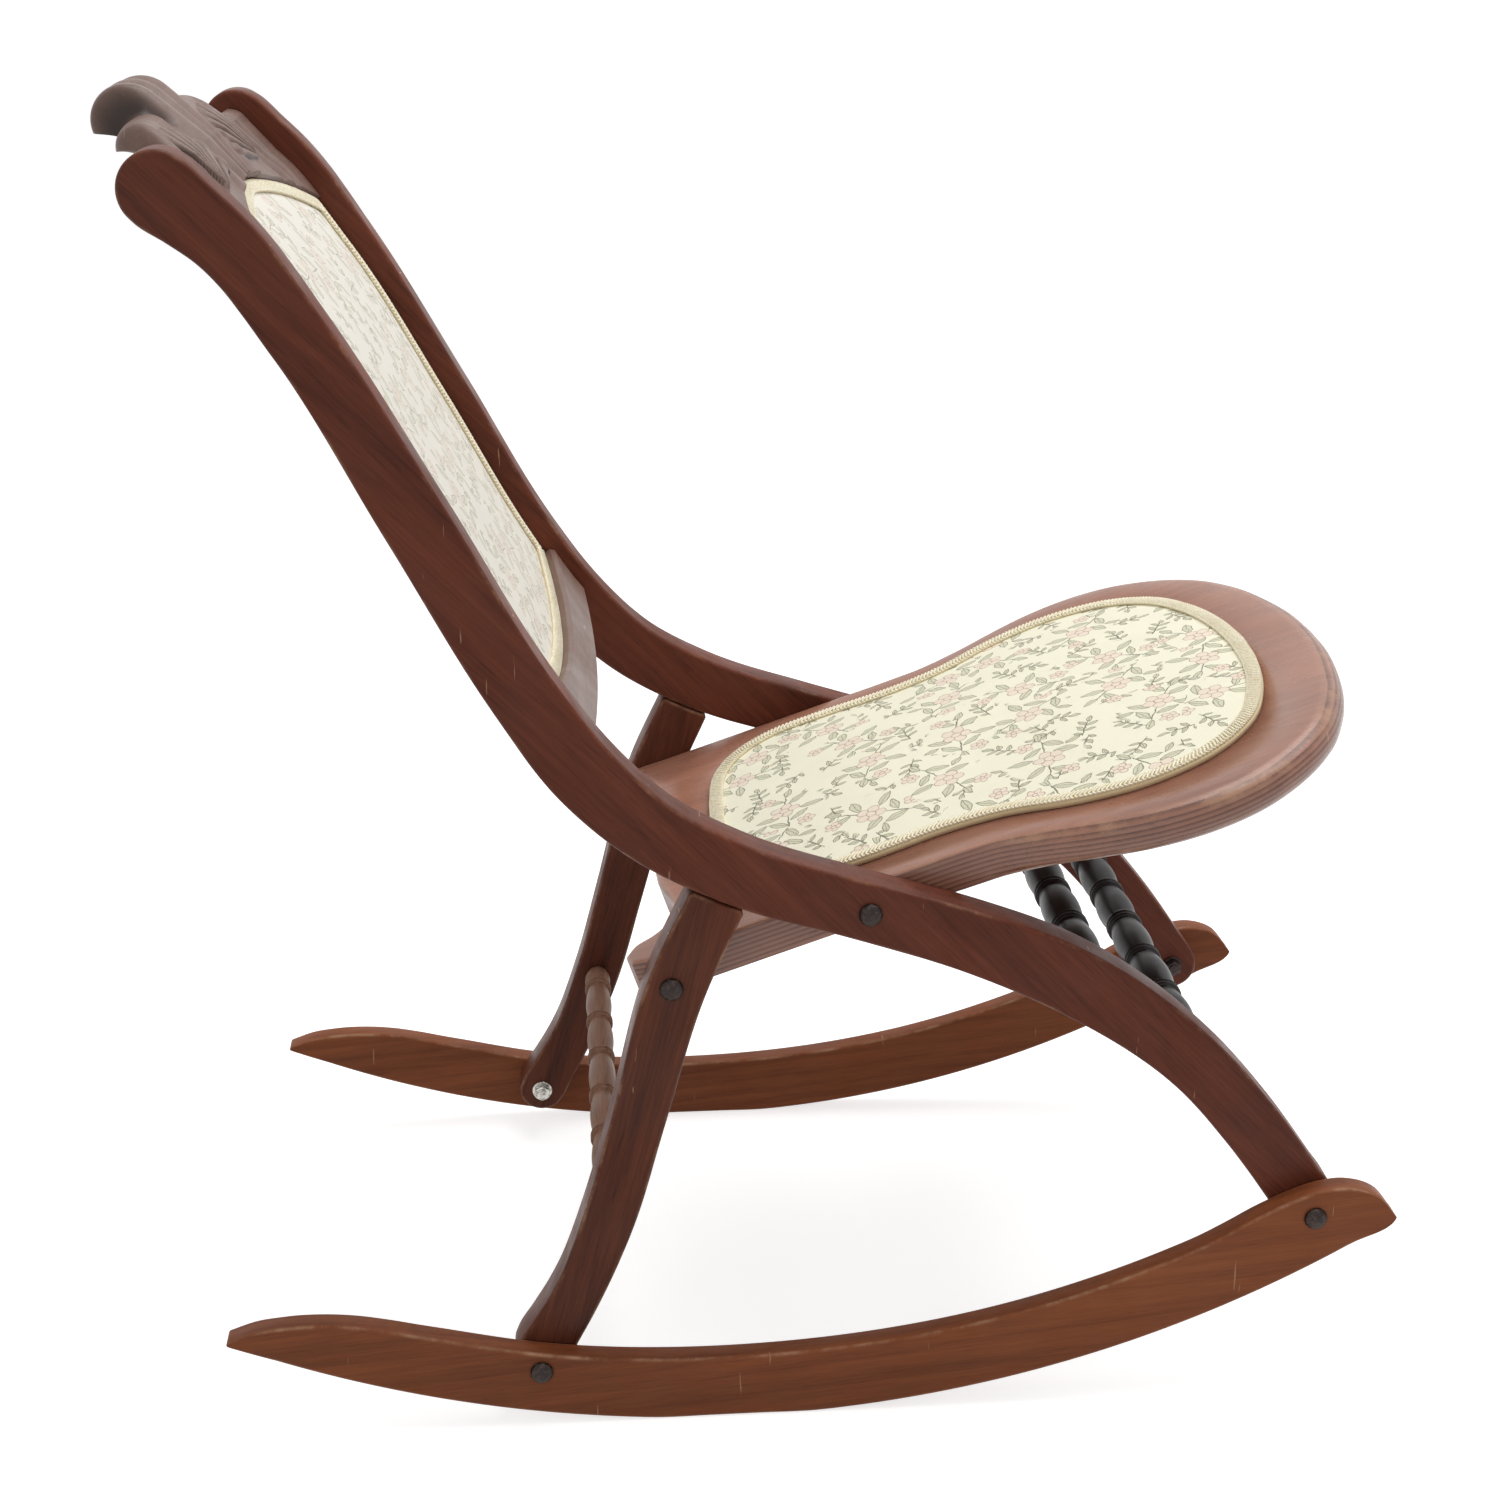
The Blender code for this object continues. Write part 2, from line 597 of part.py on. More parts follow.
def seat_board(bm):
    """The seat frame before its opening: a board whose edge is eased along the rails and round in front."""
    loop = evenly(seat_outline(), BOARD_POINTS)
    inward = mitres(loop)
    ease = np.clip((loop[:, 0] - STRAIGHT_LENGTH) / NOSE_EASE, 0.0, 1.0)
    radius = RAIL_ROUND + (NOSE_ROUND - RAIL_ROUND) * ease * ease * (3 - 2 * ease)
    rings = []
    for way, turns in ((-1, (90, 45, 0)), (1, (0, 45, 90))):
        for turn in np.radians(turns):
            at = loop + inward * (radius * (1 - math.cos(turn)))[:, None]
            v = SEAT_TOP - SEAT_T / 2 + way * (SEAT_T / 2 - radius * (1 - math.sin(turn)))
            rings.append([bm.verts.new((u, y, h)) for (u, y), h in zip(at, v)])
    join_rings(bm, rings)


def add_plate(bm, loop, v0, v1):
    join_rings(bm, [[bm.verts.new((u, y, v)) for u, y in loop] for v in (v0, v1)])


def make_seat_frame(seat):
    bm = bmesh.new()
    seat_board(bm)
    frame = piece("seat_frame", bm, RIM_WOOD, seat, on_seat=True)
    holes = bmesh.new()
    add_plate(holes, inset(fabric_outline(), OPENING_INSET), SEAT_TOP - 2 * SEAT_T, SEAT_TOP + SEAT_T)
    for side in (-1, 1):
        blind = side * (SEAT_HALF - SCREW_DEPTH - FIT), side * (SEAT_HALF + SCREW_DEPTH)
        add_bores(holes, ((0.0, 0.0), EAR_BORE), *blind, HOLE_R)
    cut(frame, holes)
    bm = bmesh.new()
    add_plate(bm, inset(fabric_outline(), OPENING_INSET + FIT), SEAT_TOP - SEAT_PANEL_T, SEAT_TOP)
    piece("seat_panel", bm, PANEL_WOOD, seat, on_seat=True)


def rise_of(depth, roll):
    """Share of a pad's crown reached at a distance in from its edge, past the flat under the braid."""
    return 1 - (1 - np.clip((depth - GIMP_W) / roll, 0.0, 1.0)) ** 2.4


def make_seat_pad(seat):
    loop = fabric_outline()
    under, floor = inset(loop, GIMP_W), SEAT_TOP + TOUCH
    middle = (loop.max(axis=0) + loop.min(axis=0)) / 2
    bm = bmesh.new()
    rings = [[bm.verts.new((u, y, v)) for u, y in loop] for v in (floor, floor + SEAT_RIM)]
    for share in PAD_RINGS:
        ring = middle + (under - middle) * share
        v = floor + SEAT_RIM + SEAT_CROWN * rise_of(depth_inside(ring, loop), SEAT_ROLL)
        rings.append([bm.verts.new((u, y, h)) for (u, y), h in zip(ring, v)])
    rings.append([bm.verts.new((*middle, floor + SEAT_RIM + SEAT_CROWN))])
    join_rings(bm, rings)
    piece("seat_pad", bm, CLOTH, seat, on_seat=True)


def braid_section():
    """(across, height) points of a flat braid, thin at its edges."""
    half = GIMP_W / 2 - TOUCH
    rise = ((half, 0.0), (half, GIMP_H / 2), (half * 0.6, GIMP_H))
    return [*rise, *((-w, h) for w, h in rise[::-1])]


def make_seat_gimp(seat):
    loop = inset(fabric_outline(), GIMP_W / 2)
    base = SEAT_TOP + SEAT_RIM + 2 * TOUCH
    bm = bmesh.new()
    rings = []
    for (u, y), (a, b) in zip(loop, mitres(loop)):
        rings.append([bm.verts.new((u + a * w, y + b * w, base + h)) for w, h in braid_section()])
    join_rings(bm, rings, closed=True)
    piece("seat_gimp", bm, BRAID, seat, on_seat=True)


def along_back(lengths):
    """Points and forward normals of the stile's centre line at these lengths down from its top."""
    path = stile_path(FINE_STEP)[::-1, :2]
    along, n = lengths_of(path), left_of(np.gradient(path, axis=0))
    points = np.stack([np.interp(lengths, along, path[:, k]) for k in (0, 1)], axis=1)
    ahead = np.stack([np.interp(lengths, along, n[:, k]) for k in (0, 1)], axis=1)
    return points, ahead / np.linalg.norm(ahead, axis=1)[:, None]


def between(points, ahead, front, rear):
    """Closed section between two offsets from the back's centre line."""
    front, rear = np.broadcast_to(front, len(points)), np.broadcast_to(rear, len(points))
    return np.vstack([points + ahead * front[:, None], (points + ahead * rear[:, None])[::-1]])


def crest_low(y):
    """Length down the stile of the crest's lower edge, which arches up to the middle."""
    return CREST_LOW - CREST_ARCH * (1 - (abs(y) / BACK_HALF) ** ARCH_POWER)


def rail_ends(y):
    """Lengths down the stile of the lower rail's edges, which sag to the middle."""
    sag = 1 - (y / BACK_HALF) ** 2
    return BACK_LENGTH + LOWER_ARCH * sag, BACK_LENGTH + LOWER_RAIL_W + LOWER_RAIL_ARCH * sag


def crest_section(y):
    """Crest at one place across: up along the stile and past its top, then rolling backwards."""
    middle, shoulder = math.exp(-((y / HOOD_W) ** 8)), math.exp(-((y / SHOULDER_W) ** 16))
    rise = SHOULDER_RISE * shoulder + (HOOD_RISE - SHOULDER_RISE) * middle
    lengths = np.linspace(crest_low(y), -rise, 9)
    points, ahead = along_back(np.maximum(lengths, 0.0))
    out, up = ahead[-1], np.array([-ahead[-1][1], ahead[-1][0]])
    points = points + up * np.maximum(-lengths, 0.0)[:, None]
    radius = SIDE_CURL_R + (HOOD_CURL_R - SIDE_CURL_R) * middle
    turn = np.linspace(0.0, END_CURL + (CURL - END_CURL) * shoulder, 9)[1:, None]
    radial = out * np.cos(turn) + up * np.sin(turn)
    points = np.vstack([points, points[-1] - out * radius + radial * radius])
    ahead = np.vstack([ahead, radial])
    s = np.linspace(0.0, 1.0, len(points))
    front = CREST_FRONT * (1 - HOOD_THIN * middle * s**4) + carving(s, y, middle)
    return between(points, ahead, front, CREST_REAR * (1 - middle * s**2))


def carving(s, y, middle):
    """Height of the carving over the crest's face: a fluted shell in the middle and ribs beside it."""
    fan = np.arctan2(abs(y), HOOD_W * (0.35 + 0.9 * s))
    shell = (HOOD_SWELL * s + RELIEF * np.abs(np.cos(FLUTES * fan))) * middle
    off = abs(y) - RIBS_AT
    ribs = RIB_RELIEF * math.exp(-((off / RIBS_HALF) ** 4)) * math.cos(math.pi * off / RIB_STEP) ** 2
    return shell + ribs * np.sin(np.pi * s)


def crest_places():
    """Places across the chair for the crest's sections, closer together over the carving."""
    t = np.linspace(-1.0, 1.0, 2 * ACROSS_POINTS + 5)
    return BACK_HALF * (0.55 * t + 0.45 * t**3)


def pad_places():
    inner = np.linspace(-1.0, 1.0, ACROSS_POINTS - 1) * (PAD_HALF - GIMP_W)
    return [-PAD_HALF, *inner, PAD_HALF]


def pad_ends(y):
    """Lengths down the stile of the upholstery's upper and lower edges."""
    return crest_low(y) + 2 * TOUCH, rail_ends(y)[0] - TOUCH


def pad_lengths(y):
    """Lengths down the stile at which the upholstery is drawn, closer under the braid at its ends."""
    top, bottom = pad_ends(y)
    return np.array([top, *np.linspace(top + GIMP_W, bottom - GIMP_W, 12), bottom])


def pad_section(y):
    s = pad_lengths(y)
    top, bottom = s[0], s[-1]
    depth = np.minimum(np.minimum(s - top, bottom - s), PAD_HALF - abs(y))
    base = BACK_PANEL_FRONT + 2 * TOUCH
    return between(*along_back(s), base + BACK_RIM + BACK_CROWN * rise_of(depth, BACK_ROLL), base)


def panel_section(y):
    return between(*along_back(pad_lengths(y)), BACK_PANEL_FRONT, BACK_PANEL_FRONT - BACK_PANEL_T)


def rail_section(y):
    return between(*along_back(np.linspace(*rail_ends(y), 4)), RAIL_FRONT, RAIL_REAR)


def back_braid_loop():
    """Middle line of the braid round the back's upholstery, as (y, length down the stile)."""
    half, step = PAD_HALF - GIMP_W / 2, GIMP_W / 2
    ys = [-half, *pad_places()[1:-1], half]
    down = [(-half, s) for s in pad_lengths(half)[1:-1]]
    top = [(y, pad_ends(y)[0] + step) for y in ys[::-1]]
    bottom = [(y, pad_ends(y)[1] - step) for y in ys]
    return np.array(top + down + bottom + [(half, s) for _, s in down[::-1]])


def make_back(back_frame):
    for name, look, places, section in (
        ("crest_rail", CREST_WOOD, crest_places(), crest_section),
        ("back_lower_rail", WOOD, np.linspace(-BACK_HALF, BACK_HALF, ACROSS_POINTS + 1), rail_section),
        ("back_panel", PANEL_WOOD, np.linspace(-BACK_HALF, BACK_HALF, ACROSS_POINTS + 1), panel_section),
        ("back_pad", CLOTH, pad_places(), pad_section),
    ):
        bm = bmesh.new()
        add_across(bm, places, section)
        obj = piece(name, bm, look, back_frame)
        if name == "back_lower_rail":
            round_edges(obj)


def make_back_gimp(back_frame):
    loop = back_braid_loop()
    base = BACK_PANEL_FRONT + BACK_RIM + 3 * TOUCH
    bm = bmesh.new()
    rings = []
    for (y, s), (a, b) in zip(loop, mitres(loop)):
        ring = []
        for w, h in braid_section():
            points, ahead = along_back(np.array([s + b * w]))
            x, z = points[0] + ahead[0] * (base + h)
            ring.append(bm.verts.new((x, y + a * w, z)))
        rings.append(ring)
    join_rings(bm, rings, closed=True)
    piece("back_gimp", bm, BRAID, back_frame)


def main():
    for obj in list(bpy.data.objects):
        bpy.data.objects.remove(obj, do_unlink=True)
    rear_legs = joint_axis("rear_legs_axis", REAR_FOOT)
    seat = joint_axis("seat_axis", LEG_PIVOT)
    back_frame = joint_axis("back_frame_axis", SEAT_PIVOT)
    make_rockers()
    make_legs(rear_legs)
    make_stiles(back_frame)
    make_spindles(back_frame, rear_legs)
    make_rear_bolts()
    make_front_bolts(back_frame)
    make_pivot_screws(seat)
    make_seat_frame(seat)
    make_seat_pad(seat)
    make_seat_gimp(seat)
    make_back(back_frame)
    make_back_gimp(back_frame)


main()
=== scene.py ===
"""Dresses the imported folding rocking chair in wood, tapestry, braid and iron, on a plain stage.

Each operator makes one piece, or one group of like pieces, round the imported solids. Boards take their
outlines from those solids, and every piece rides on the body that carries it.
"""

import json
import math

import bmesh
import bpy
import numpy as np
from bpy.props import FloatProperty, FloatVectorProperty, IntProperty, PointerProperty
from mathutils import Matrix, Vector


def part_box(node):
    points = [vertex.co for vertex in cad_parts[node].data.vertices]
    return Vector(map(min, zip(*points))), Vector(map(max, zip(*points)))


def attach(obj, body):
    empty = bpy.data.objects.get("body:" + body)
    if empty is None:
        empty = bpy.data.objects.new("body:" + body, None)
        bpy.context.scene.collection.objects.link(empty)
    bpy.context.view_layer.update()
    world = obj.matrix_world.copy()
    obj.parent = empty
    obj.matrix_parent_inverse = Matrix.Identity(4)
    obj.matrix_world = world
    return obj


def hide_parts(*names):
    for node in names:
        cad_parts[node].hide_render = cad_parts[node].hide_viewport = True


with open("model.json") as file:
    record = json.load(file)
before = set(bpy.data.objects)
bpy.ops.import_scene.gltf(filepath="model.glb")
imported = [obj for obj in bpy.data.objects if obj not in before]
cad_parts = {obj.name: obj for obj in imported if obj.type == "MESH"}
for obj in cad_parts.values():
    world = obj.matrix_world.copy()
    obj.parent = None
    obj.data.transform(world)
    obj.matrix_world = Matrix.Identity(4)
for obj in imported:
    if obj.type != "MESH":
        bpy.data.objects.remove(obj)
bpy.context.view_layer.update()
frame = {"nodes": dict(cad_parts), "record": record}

bl_info = {
    "name": "Folding rocking chair",
    "version": (1, 0, 0),
    "blender": (4, 5, 0),
    "location": "View3D > Sidebar > Chair",
    "description": "Dresses the packed chair in wood, tapestry, braid and iron, on a plain stage",
    "category": "Object",
}

SIDES = (("right", -1), ("left", 1))

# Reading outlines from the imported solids: what counts as flat, as a corner, as short and as long, and how
# far a mitre may reach
FLAT_DOT = 0.9999
FLAT_SLACK = 5e-5
CORNER = math.radians(33)
SHORT_EDGE = 4e-4
LONG_EDGE = 1.6
MITRE_LIMIT = 0.3

# Round edges of boards: steps in the round, where the flat face starts (in radii), and how much finer the
# edge gets at the rockers' tips, over what length
ROUND_STEPS = 6
FLAT_FROM = 1.4
TIP_SHARE = 0.12
ROCKER_TAPER = 0.030

# The back's curve, as shares of the way back and up from the seat pivot to the middle of a stile's top,
# those two ways, the step along the curve, and how far down from its top the back's face lies deeper
BACK_CURVE = (
    (0.0, 0.0), (0.21, 0.065), (0.33, 0.125), (0.44, 0.22), (0.52, 0.325), (0.67, 0.57), (0.825, 0.82),
    (0.915, 0.935), (1.0, 1.0),
)
BACK_LEAN = 0.388
BACK_HEIGHT = 0.430
BACK_STEP = 0.002
DEEP_REACH = 0.12

# Spacing of the seat's growth rings, and how many of them its pith lies below its top
SEAT_RING = 0.0032
SEAT_RINGS = 12000

# Stretchers: beads in a group, the groups' places as shares of half the length, sizes of bead and tenon
BEADS = 2
BEAD_SHARES = (0.85, 0.51, 0.17)
BEAD_HIGH = 0.0022
BEAD_LONG = 0.0045
BEAD_SINK = 0.0008
TENON_LONG = 0.006
TENON_SHARE = 0.6
LATHE_SIDES = 40

# The crest: sections across it, steps up its face and round its roll, how square hood and shoulders are
CREST_SECTIONS = 421
CREST_STEPS = 80
CURL_STEPS = 45
HOOD_POWER = 14
SHOULDER_POWER = 16

# Its carving: where the hollows start and the folds lie, and the lengths over which things ease in
HOLLOW_FROM = 0.018
HOLLOW_EASE = 0.008
DEEP_EASE = 0.03
LEAF_EASE = 0.008
FOLDS_AT = 0.112
FOLDS_HALF = 0.026
FOLDS_EASE = 0.03

# Upholstery: steps along pads and braids, shares of a crown that are shaped and swelled, the depth of the
# back pad's rolled edge, points across and down the back, and widths of the lines drawn on the cloth
PAD_STEP = 0.005
BRAID_STEP = 0.003
SHAPED = 0.6
SWELLED = 0.4
BACK_ROLL = 0.055
BACK_BOARD_GRID = (31, 48)
BACK_PAD_GRID = (61, 65)
SEAT_PAD_RINGS = 30
CLOTH_FRAMES = 20
LEAF_LINE = 0.0005
PETAL_LINE = 0.0006

# The gap under bolt heads and washers, and the half width of the floor
SEATED = 0.0003
FLOOR_REACH = 60.0


def tint(red, green, blue):
    """A linear colour from screen values of 0 to 255."""
    shares = (value / 255 for value in (red, green, blue))
    return tuple(s / 12.92 if s <= 0.04045 else ((s + 0.055) / 1.055) ** 2.4 for s in shares)


def joint_place(name):
    return next(Vector(j["pos_m"]) for j in frame["record"]["behaviour"]["joints"] if j["name"] == name)


def seat_slope():
    """Slope of the seat's board, from the largest face of its panel that points upwards."""
    faces = [p for p in frame["nodes"]["seat_panel"].data.polygons if p.normal.z > 0]
    up = max(faces, key=lambda face: face.area).normal
    return math.atan2(-up.x, up.z)


def box_middle(node):
    low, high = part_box(node)
    return (Vector(low) + Vector(high)) / 2


REAR_FOOT = joint_place("rear_leg_pivot")
LEG_PIVOT = joint_place("seat_fold")
SEAT_PIVOT = joint_place("back_pivot")
FRONT_FOOT = box_middle("front_bolt_right")
SEAT_SLOPE = seat_slope()
SEAT_AHEAD = Vector((math.cos(SEAT_SLOPE), 0.0, math.sin(SEAT_SLOPE)))
SEAT_UP = Vector((-math.sin(SEAT_SLOPE), 0.0, math.cos(SEAT_SLOPE)))
STILE_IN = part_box("stile_left")[0][1]
STILE_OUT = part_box("stile_left")[1][1]
ROCKER_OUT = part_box("rocker_left")[1][1]
BACK_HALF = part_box("back_panel")[1][1]
PAD_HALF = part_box("back_pad")[1][1]


def colour(label, use, default):
    return FloatVectorProperty(
        name=label, description=use, subtype="COLOR", size=3, min=0, max=1, default=default)


def length(label, use, default):
    return FloatProperty(name=label, description=use, unit="LENGTH", min=0, default=default)


def angle(label, use, default):
    return FloatProperty(name=label, description=use, subtype="ANGLE", default=math.radians(default))


def power(label, use, default):
    return FloatProperty(name=label, description=use, subtype="POWER", min=0, default=default)


def position(label, use, default):
    return FloatVectorProperty(name=label, description=use, subtype="TRANSLATION", size=3, default=default)


class WoodLook(bpy.types.PropertyGroup):
    """Sizes and colours of the wooden pieces."""

    edge_round: length("Edge round", "Radius of the boards' eased edges", 0.0028)
    curve_step: length("Curve step", "Spacing of points along the boards' outlines", 0.0025)
    rail_round: length("Rail round", "Radius of the seat's edge along its side rails", 0.003)
    nose_round: length("Nose round", "Radius of the seat's round front edge", 0.0125)
    nose_start: length("Nose start", "Distance ahead of the seat pivot at which the edge gets rounder", 0.060)
    nose_ease: length("Nose ease", "Length over which the edge gets rounder", 0.085)
    side_light: colour("Side light", "Light grain of the stiles", tint(122, 64, 45))
    side_dark: colour("Side dark", "Dark grain of the stiles", tint(64, 31, 22))
    leg_light: colour("Leg light", "Light grain of the rear legs", tint(114, 62, 42))
    leg_dark: colour("Leg dark", "Dark grain of the rear legs", tint(62, 32, 24))
    rocker_light: colour("Rocker light", "Light grain of the rockers", tint(156, 90, 54))
    rocker_dark: colour("Rocker dark", "Dark grain of the rockers", tint(106, 58, 36))
    seat_light: colour("Seat light", "Light grain of the seat frame", tint(174, 122, 100))
    seat_dark: colour("Seat dark", "Dark grain of the seat frame", tint(98, 60, 48))
    # The crest's tones are greyed and lightened as painted sheen: the sky's grey on its varnish is mixed into
    # the walnut
    crest_light: colour("Crest light", "Light grain of the crest", tint(136, 108, 97))
    crest_dark: colour("Crest dark", "Dark grain of the crest", tint(90, 68, 60))
    spindle_light: colour("Spindle light", "Light grain of the rear stretcher", tint(152, 114, 92))
    spindle_dark: colour("Spindle dark", "Dark grain of the rear stretcher", tint(104, 72, 58))
    board_light: colour("Board light", "Light grain of the hidden boards", tint(150, 116, 88))
    board_dark: colour("Board dark", "Dark grain of the hidden boards", tint(104, 76, 54))
    worn: colour("Worn", "Bare wood on worn edges", tint(196, 152, 120))


class CrestSizes(bpy.types.PropertyGroup):
    """Sizes of the carved crest."""

    front: length("Front", "Crest face ahead of the stiles' middle line", 0.008)
    rear: length("Rear", "Crest back behind the stiles' middle line", 0.009)
    deep: length("Deep", "How much deeper the face lies below the stiles' ends", 0.005)
    low: length("Low", "Lower edge at the stiles, down from their tops", 0.072)
    arch: length("Arch", "Rise of the lower edge in the middle", 0.044)
    arch_power: FloatProperty(name="Arch power", description="Shape of that rise", default=1.5)
    curl: length("Curl", "Radius of the backward roll on the shoulders", 0.006)
    end_turn: angle("End turn", "Turn of the roll beside the stiles", 45)
    turn: angle("Turn", "Turn of the roll on shoulders and hood", 145)
    shoulder: length("Shoulder", "Half width of the shoulders", 0.103)
    shoulder_rise: length("Shoulder rise", "Height of the shoulders over the stiles' ends", 0.026)
    hood: length("Hood", "Half width of the hood in the middle", 0.042)
    rise: length("Rise", "Height of the hood over the stiles' ends", 0.042)
    hood_curl: length("Hood curl", "Radius of the hood's roll", 0.010)
    thin: FloatProperty(name="Thin", description="How much thinner the hood's lip is", default=0.4)
    swell: length("Swell", "How far the hood stands out", 0.004)
    relief: length("Relief", "Depth of the hood's flutes", 0.0030)
    flutes: IntProperty(name="Flutes", description="Number of flutes in the fan", default=5)
    leaf_at: length("Leaf root", "Root of the leaf beside the hood, across from the chair's middle", 0.080)
    leaf_low: length("Leaf low", "How far that root lies below the stiles' ends", 0.028)
    leaf_long: length("Leaf length", "Length of the leaf's lobes", 0.052)
    leaf_rise: length("Leaf rise", "How far the leaf stands out", 0.0032)
    leaf_from: angle("Leaf from", "Lean of its first lobe away from the hood", 22)
    lobe_turn: angle("Lobe turn", "Turn from one lobe to the next", 17)
    lobes: IntProperty(name="Lobes", description="Number of lobes", default=6)
    vein_depth: length("Vein depth", "Depth of the grooves between lobes", 0.0042)
    hollow: length("Hollow", "Depth of the hollow at the hood's ends", 0.006)
    fold: length("Fold", "Height of the soft folds beside the leaf", 0.0014)
    fold_step: length("Fold step", "Spacing of those folds", 0.021)


class ClothLook(bpy.types.PropertyGroup):
    """Sizes and colours of the upholstery and its braid."""

    ground: colour("Ground", "Cream ground of the tapestry", tint(254, 250, 226))
    leaf: colour("Leaf", "Fill of the leaves", tint(224, 222, 194))
    line: colour("Line", "Outlines of the leaves", tint(104, 100, 78))
    petal: colour("Petal", "Fill of the blossoms", tint(248, 234, 214))
    petal_line: colour("Petal line", "Outlines of the blossoms", tint(186, 150, 134))
    # The back's colours are the seat's cloth again, greyed as painted shade and with its drawing fainter
    back_ground: colour("Back ground", "Ground of the back's more faded tapestry", tint(246, 241, 230))
    back_leaf: colour("Back leaf", "Faded leaves on the back", tint(230, 226, 210))
    back_line: colour("Back line", "Faded outlines on the back", tint(184, 177, 158))
    back_petal: colour("Back petal", "Faded blossoms on the back", tint(242, 232, 220))
    back_petal_line: colour("Back petal line", "Faded outlines of those blossoms", tint(208, 190, 174))
    thread: colour("Thread", "Thread of the braid", tint(255, 250, 230))
    thread_dark: colour("Thread dark", "Shaded thread of the braid", tint(238, 224, 186))
    # The tape's colour is painted shade between the braid's scrolls
    tape: colour("Tape", "Shaded tape between the braid's scrolls", tint(226, 208, 164))
    spray: length("Spray", "Spacing of the large sprays", 0.062)
    twig: length("Twig", "Spacing of the small twigs", 0.027)
    weave: length("Weave", "Spacing of the tapestry's threads", 0.0009)
    seat_crown: length("Seat crown", "Height of the seat pad's middle over its rim", 0.009)
    back_crown: length("Back crown", "Height of the back pad's middle over its rim", 0.006)
    seat_rim: length("Seat rim", "Thickness of the seat pad under the braid", 0.003)
    back_rim: length("Back rim", "Thickness of the back pad under the braid", 0.004)
    back_length: length("Back length", "Lower end of the back pad, down from the stiles' tops", 0.360)
    back_sag: length("Back sag", "How much lower that end is in the middle", 0.022)
    gap: length("Gap", "Room between the pads and what they lie on", 0.0003)
    panel_depth: length("Panel depth", "Back board's face behind the stiles' middle line", 0.003)
    panel_t: length("Panel thickness", "Thickness of the back board", 0.005)
    gimp_w: length("Braid width", "Width of the braid", 0.010)
    gimp_h: length("Braid height", "Height of the braid", 0.003)
    thread_r: length("Thread radius", "Radius of the braid's threads", 0.00075)
    pitch: length("Braid pitch", "Length of one scroll of the braid", 0.0055)


class MetalLook(bpy.types.PropertyGroup):
    """Sizes and colours of the hardware."""

    head_r: length("Head radius", "Radius of the bolt heads", 0.0072)
    head_h: length("Head height", "Height of the bolt heads", 0.005)
    nut_r: length("Nut radius", "Radius over a nut's corners", 0.0062)
    nut_h: length("Nut height", "Height of a nut", 0.005)
    washer_r: length("Washer radius", "Radius of a washer", 0.0076)
    washer_t: length("Washer thickness", "Thickness of a washer", 0.0012)
    shank_r: length("Shank radius", "Radius of the bolts", 0.004)
    iron: colour("Iron", "Blackened bolt heads", tint(48, 42, 40))
    rust: colour("Rust", "Brown bloom on the bolt heads", tint(74, 55, 47))
    steel: colour("Steel", "Plated nuts and washers", tint(204, 202, 196))
    steel_dull: colour("Dull steel", "Dull patches on the plating", tint(140, 136, 130))


class StageLook(bpy.types.PropertyGroup):
    """Camera, floor and lights."""

    lens: FloatProperty(name="Lens", description="Focal length", subtype="DISTANCE_CAMERA", default=59.04)
    camera: position("Camera", "Where the camera stands", (-0.1228, -1.5317, 0.9306))
    yaw: angle("Yaw", "Turn of the view from straight across towards the front", 4.452)
    pitch: angle("Pitch", "How far the view looks down", 19.819)
    floor: colour("Floor", "Plain pale floor", (0.78, 0.78, 0.78))
    sky: FloatProperty(name="Sky", description="Strength of the light from all round", default=0.40)
    glow: FloatProperty(name="Glow", description="How much the floor adds to its own white", default=0.70)
    key: power("Key", "Power of the large lamp overhead", 45.0)
    key_size: length("Key size", "Width of the large lamp overhead", 2.2)
    key_at: position("Key place", "Where the large lamp hangs", (0.6, 0.4, 2.6))
    fill: power("Fill", "Power of the lamp beside the camera", 4.0)
    fill_size: length("Fill size", "Width of the lamp beside the camera", 1.6)
    fill_at: position("Fill place", "Where the lamp beside the camera stands", (-1.0, -2.2, 1.3))
    aim: position("Aim", "What the lamps point at", (0.0, 0.0, 0.4))


def settings(name):
    return getattr(bpy.context.scene, "chair_" + name)


# Outlines

def lengths_of(points):
    """Length along a line of points, at each of them."""
    return np.concatenate([[0.0], np.cumsum(np.linalg.norm(np.diff(points, axis=0), axis=1))])


def flat_loops(node, toward):
    """Outlines of the node's flat face furthest along a direction, the longest first, as 3-D points."""
    mesh = frame["nodes"][node].data
    toward = Vector(toward)
    facing = [p for p in mesh.polygons if p.normal.dot(toward) > FLAT_DOT]
    level = max(p.center.dot(toward) for p in facing)
    edges = set()
    for polygon in facing:
        if polygon.center.dot(toward) < level - FLAT_SLACK:
            continue
        corners = [tuple(round(c, 6) for c in mesh.vertices[i].co) for i in polygon.vertices]
        for a, b in zip(corners, corners[1:] + corners[:1]):
            if (b, a) in edges:
                edges.remove((b, a))
            else:
                edges.add((a, b))
    ahead, loops = dict(edges), []
    while ahead:
        start, point = ahead.popitem()
        loop = [start]
        while point != start:
            loop.append(point)
            point = ahead.pop(point)
        loops.append(np.array(loop))
    return sorted(loops, key=lambda loop: -lengths_of(np.vstack([loop, loop[:1]]))[-1])


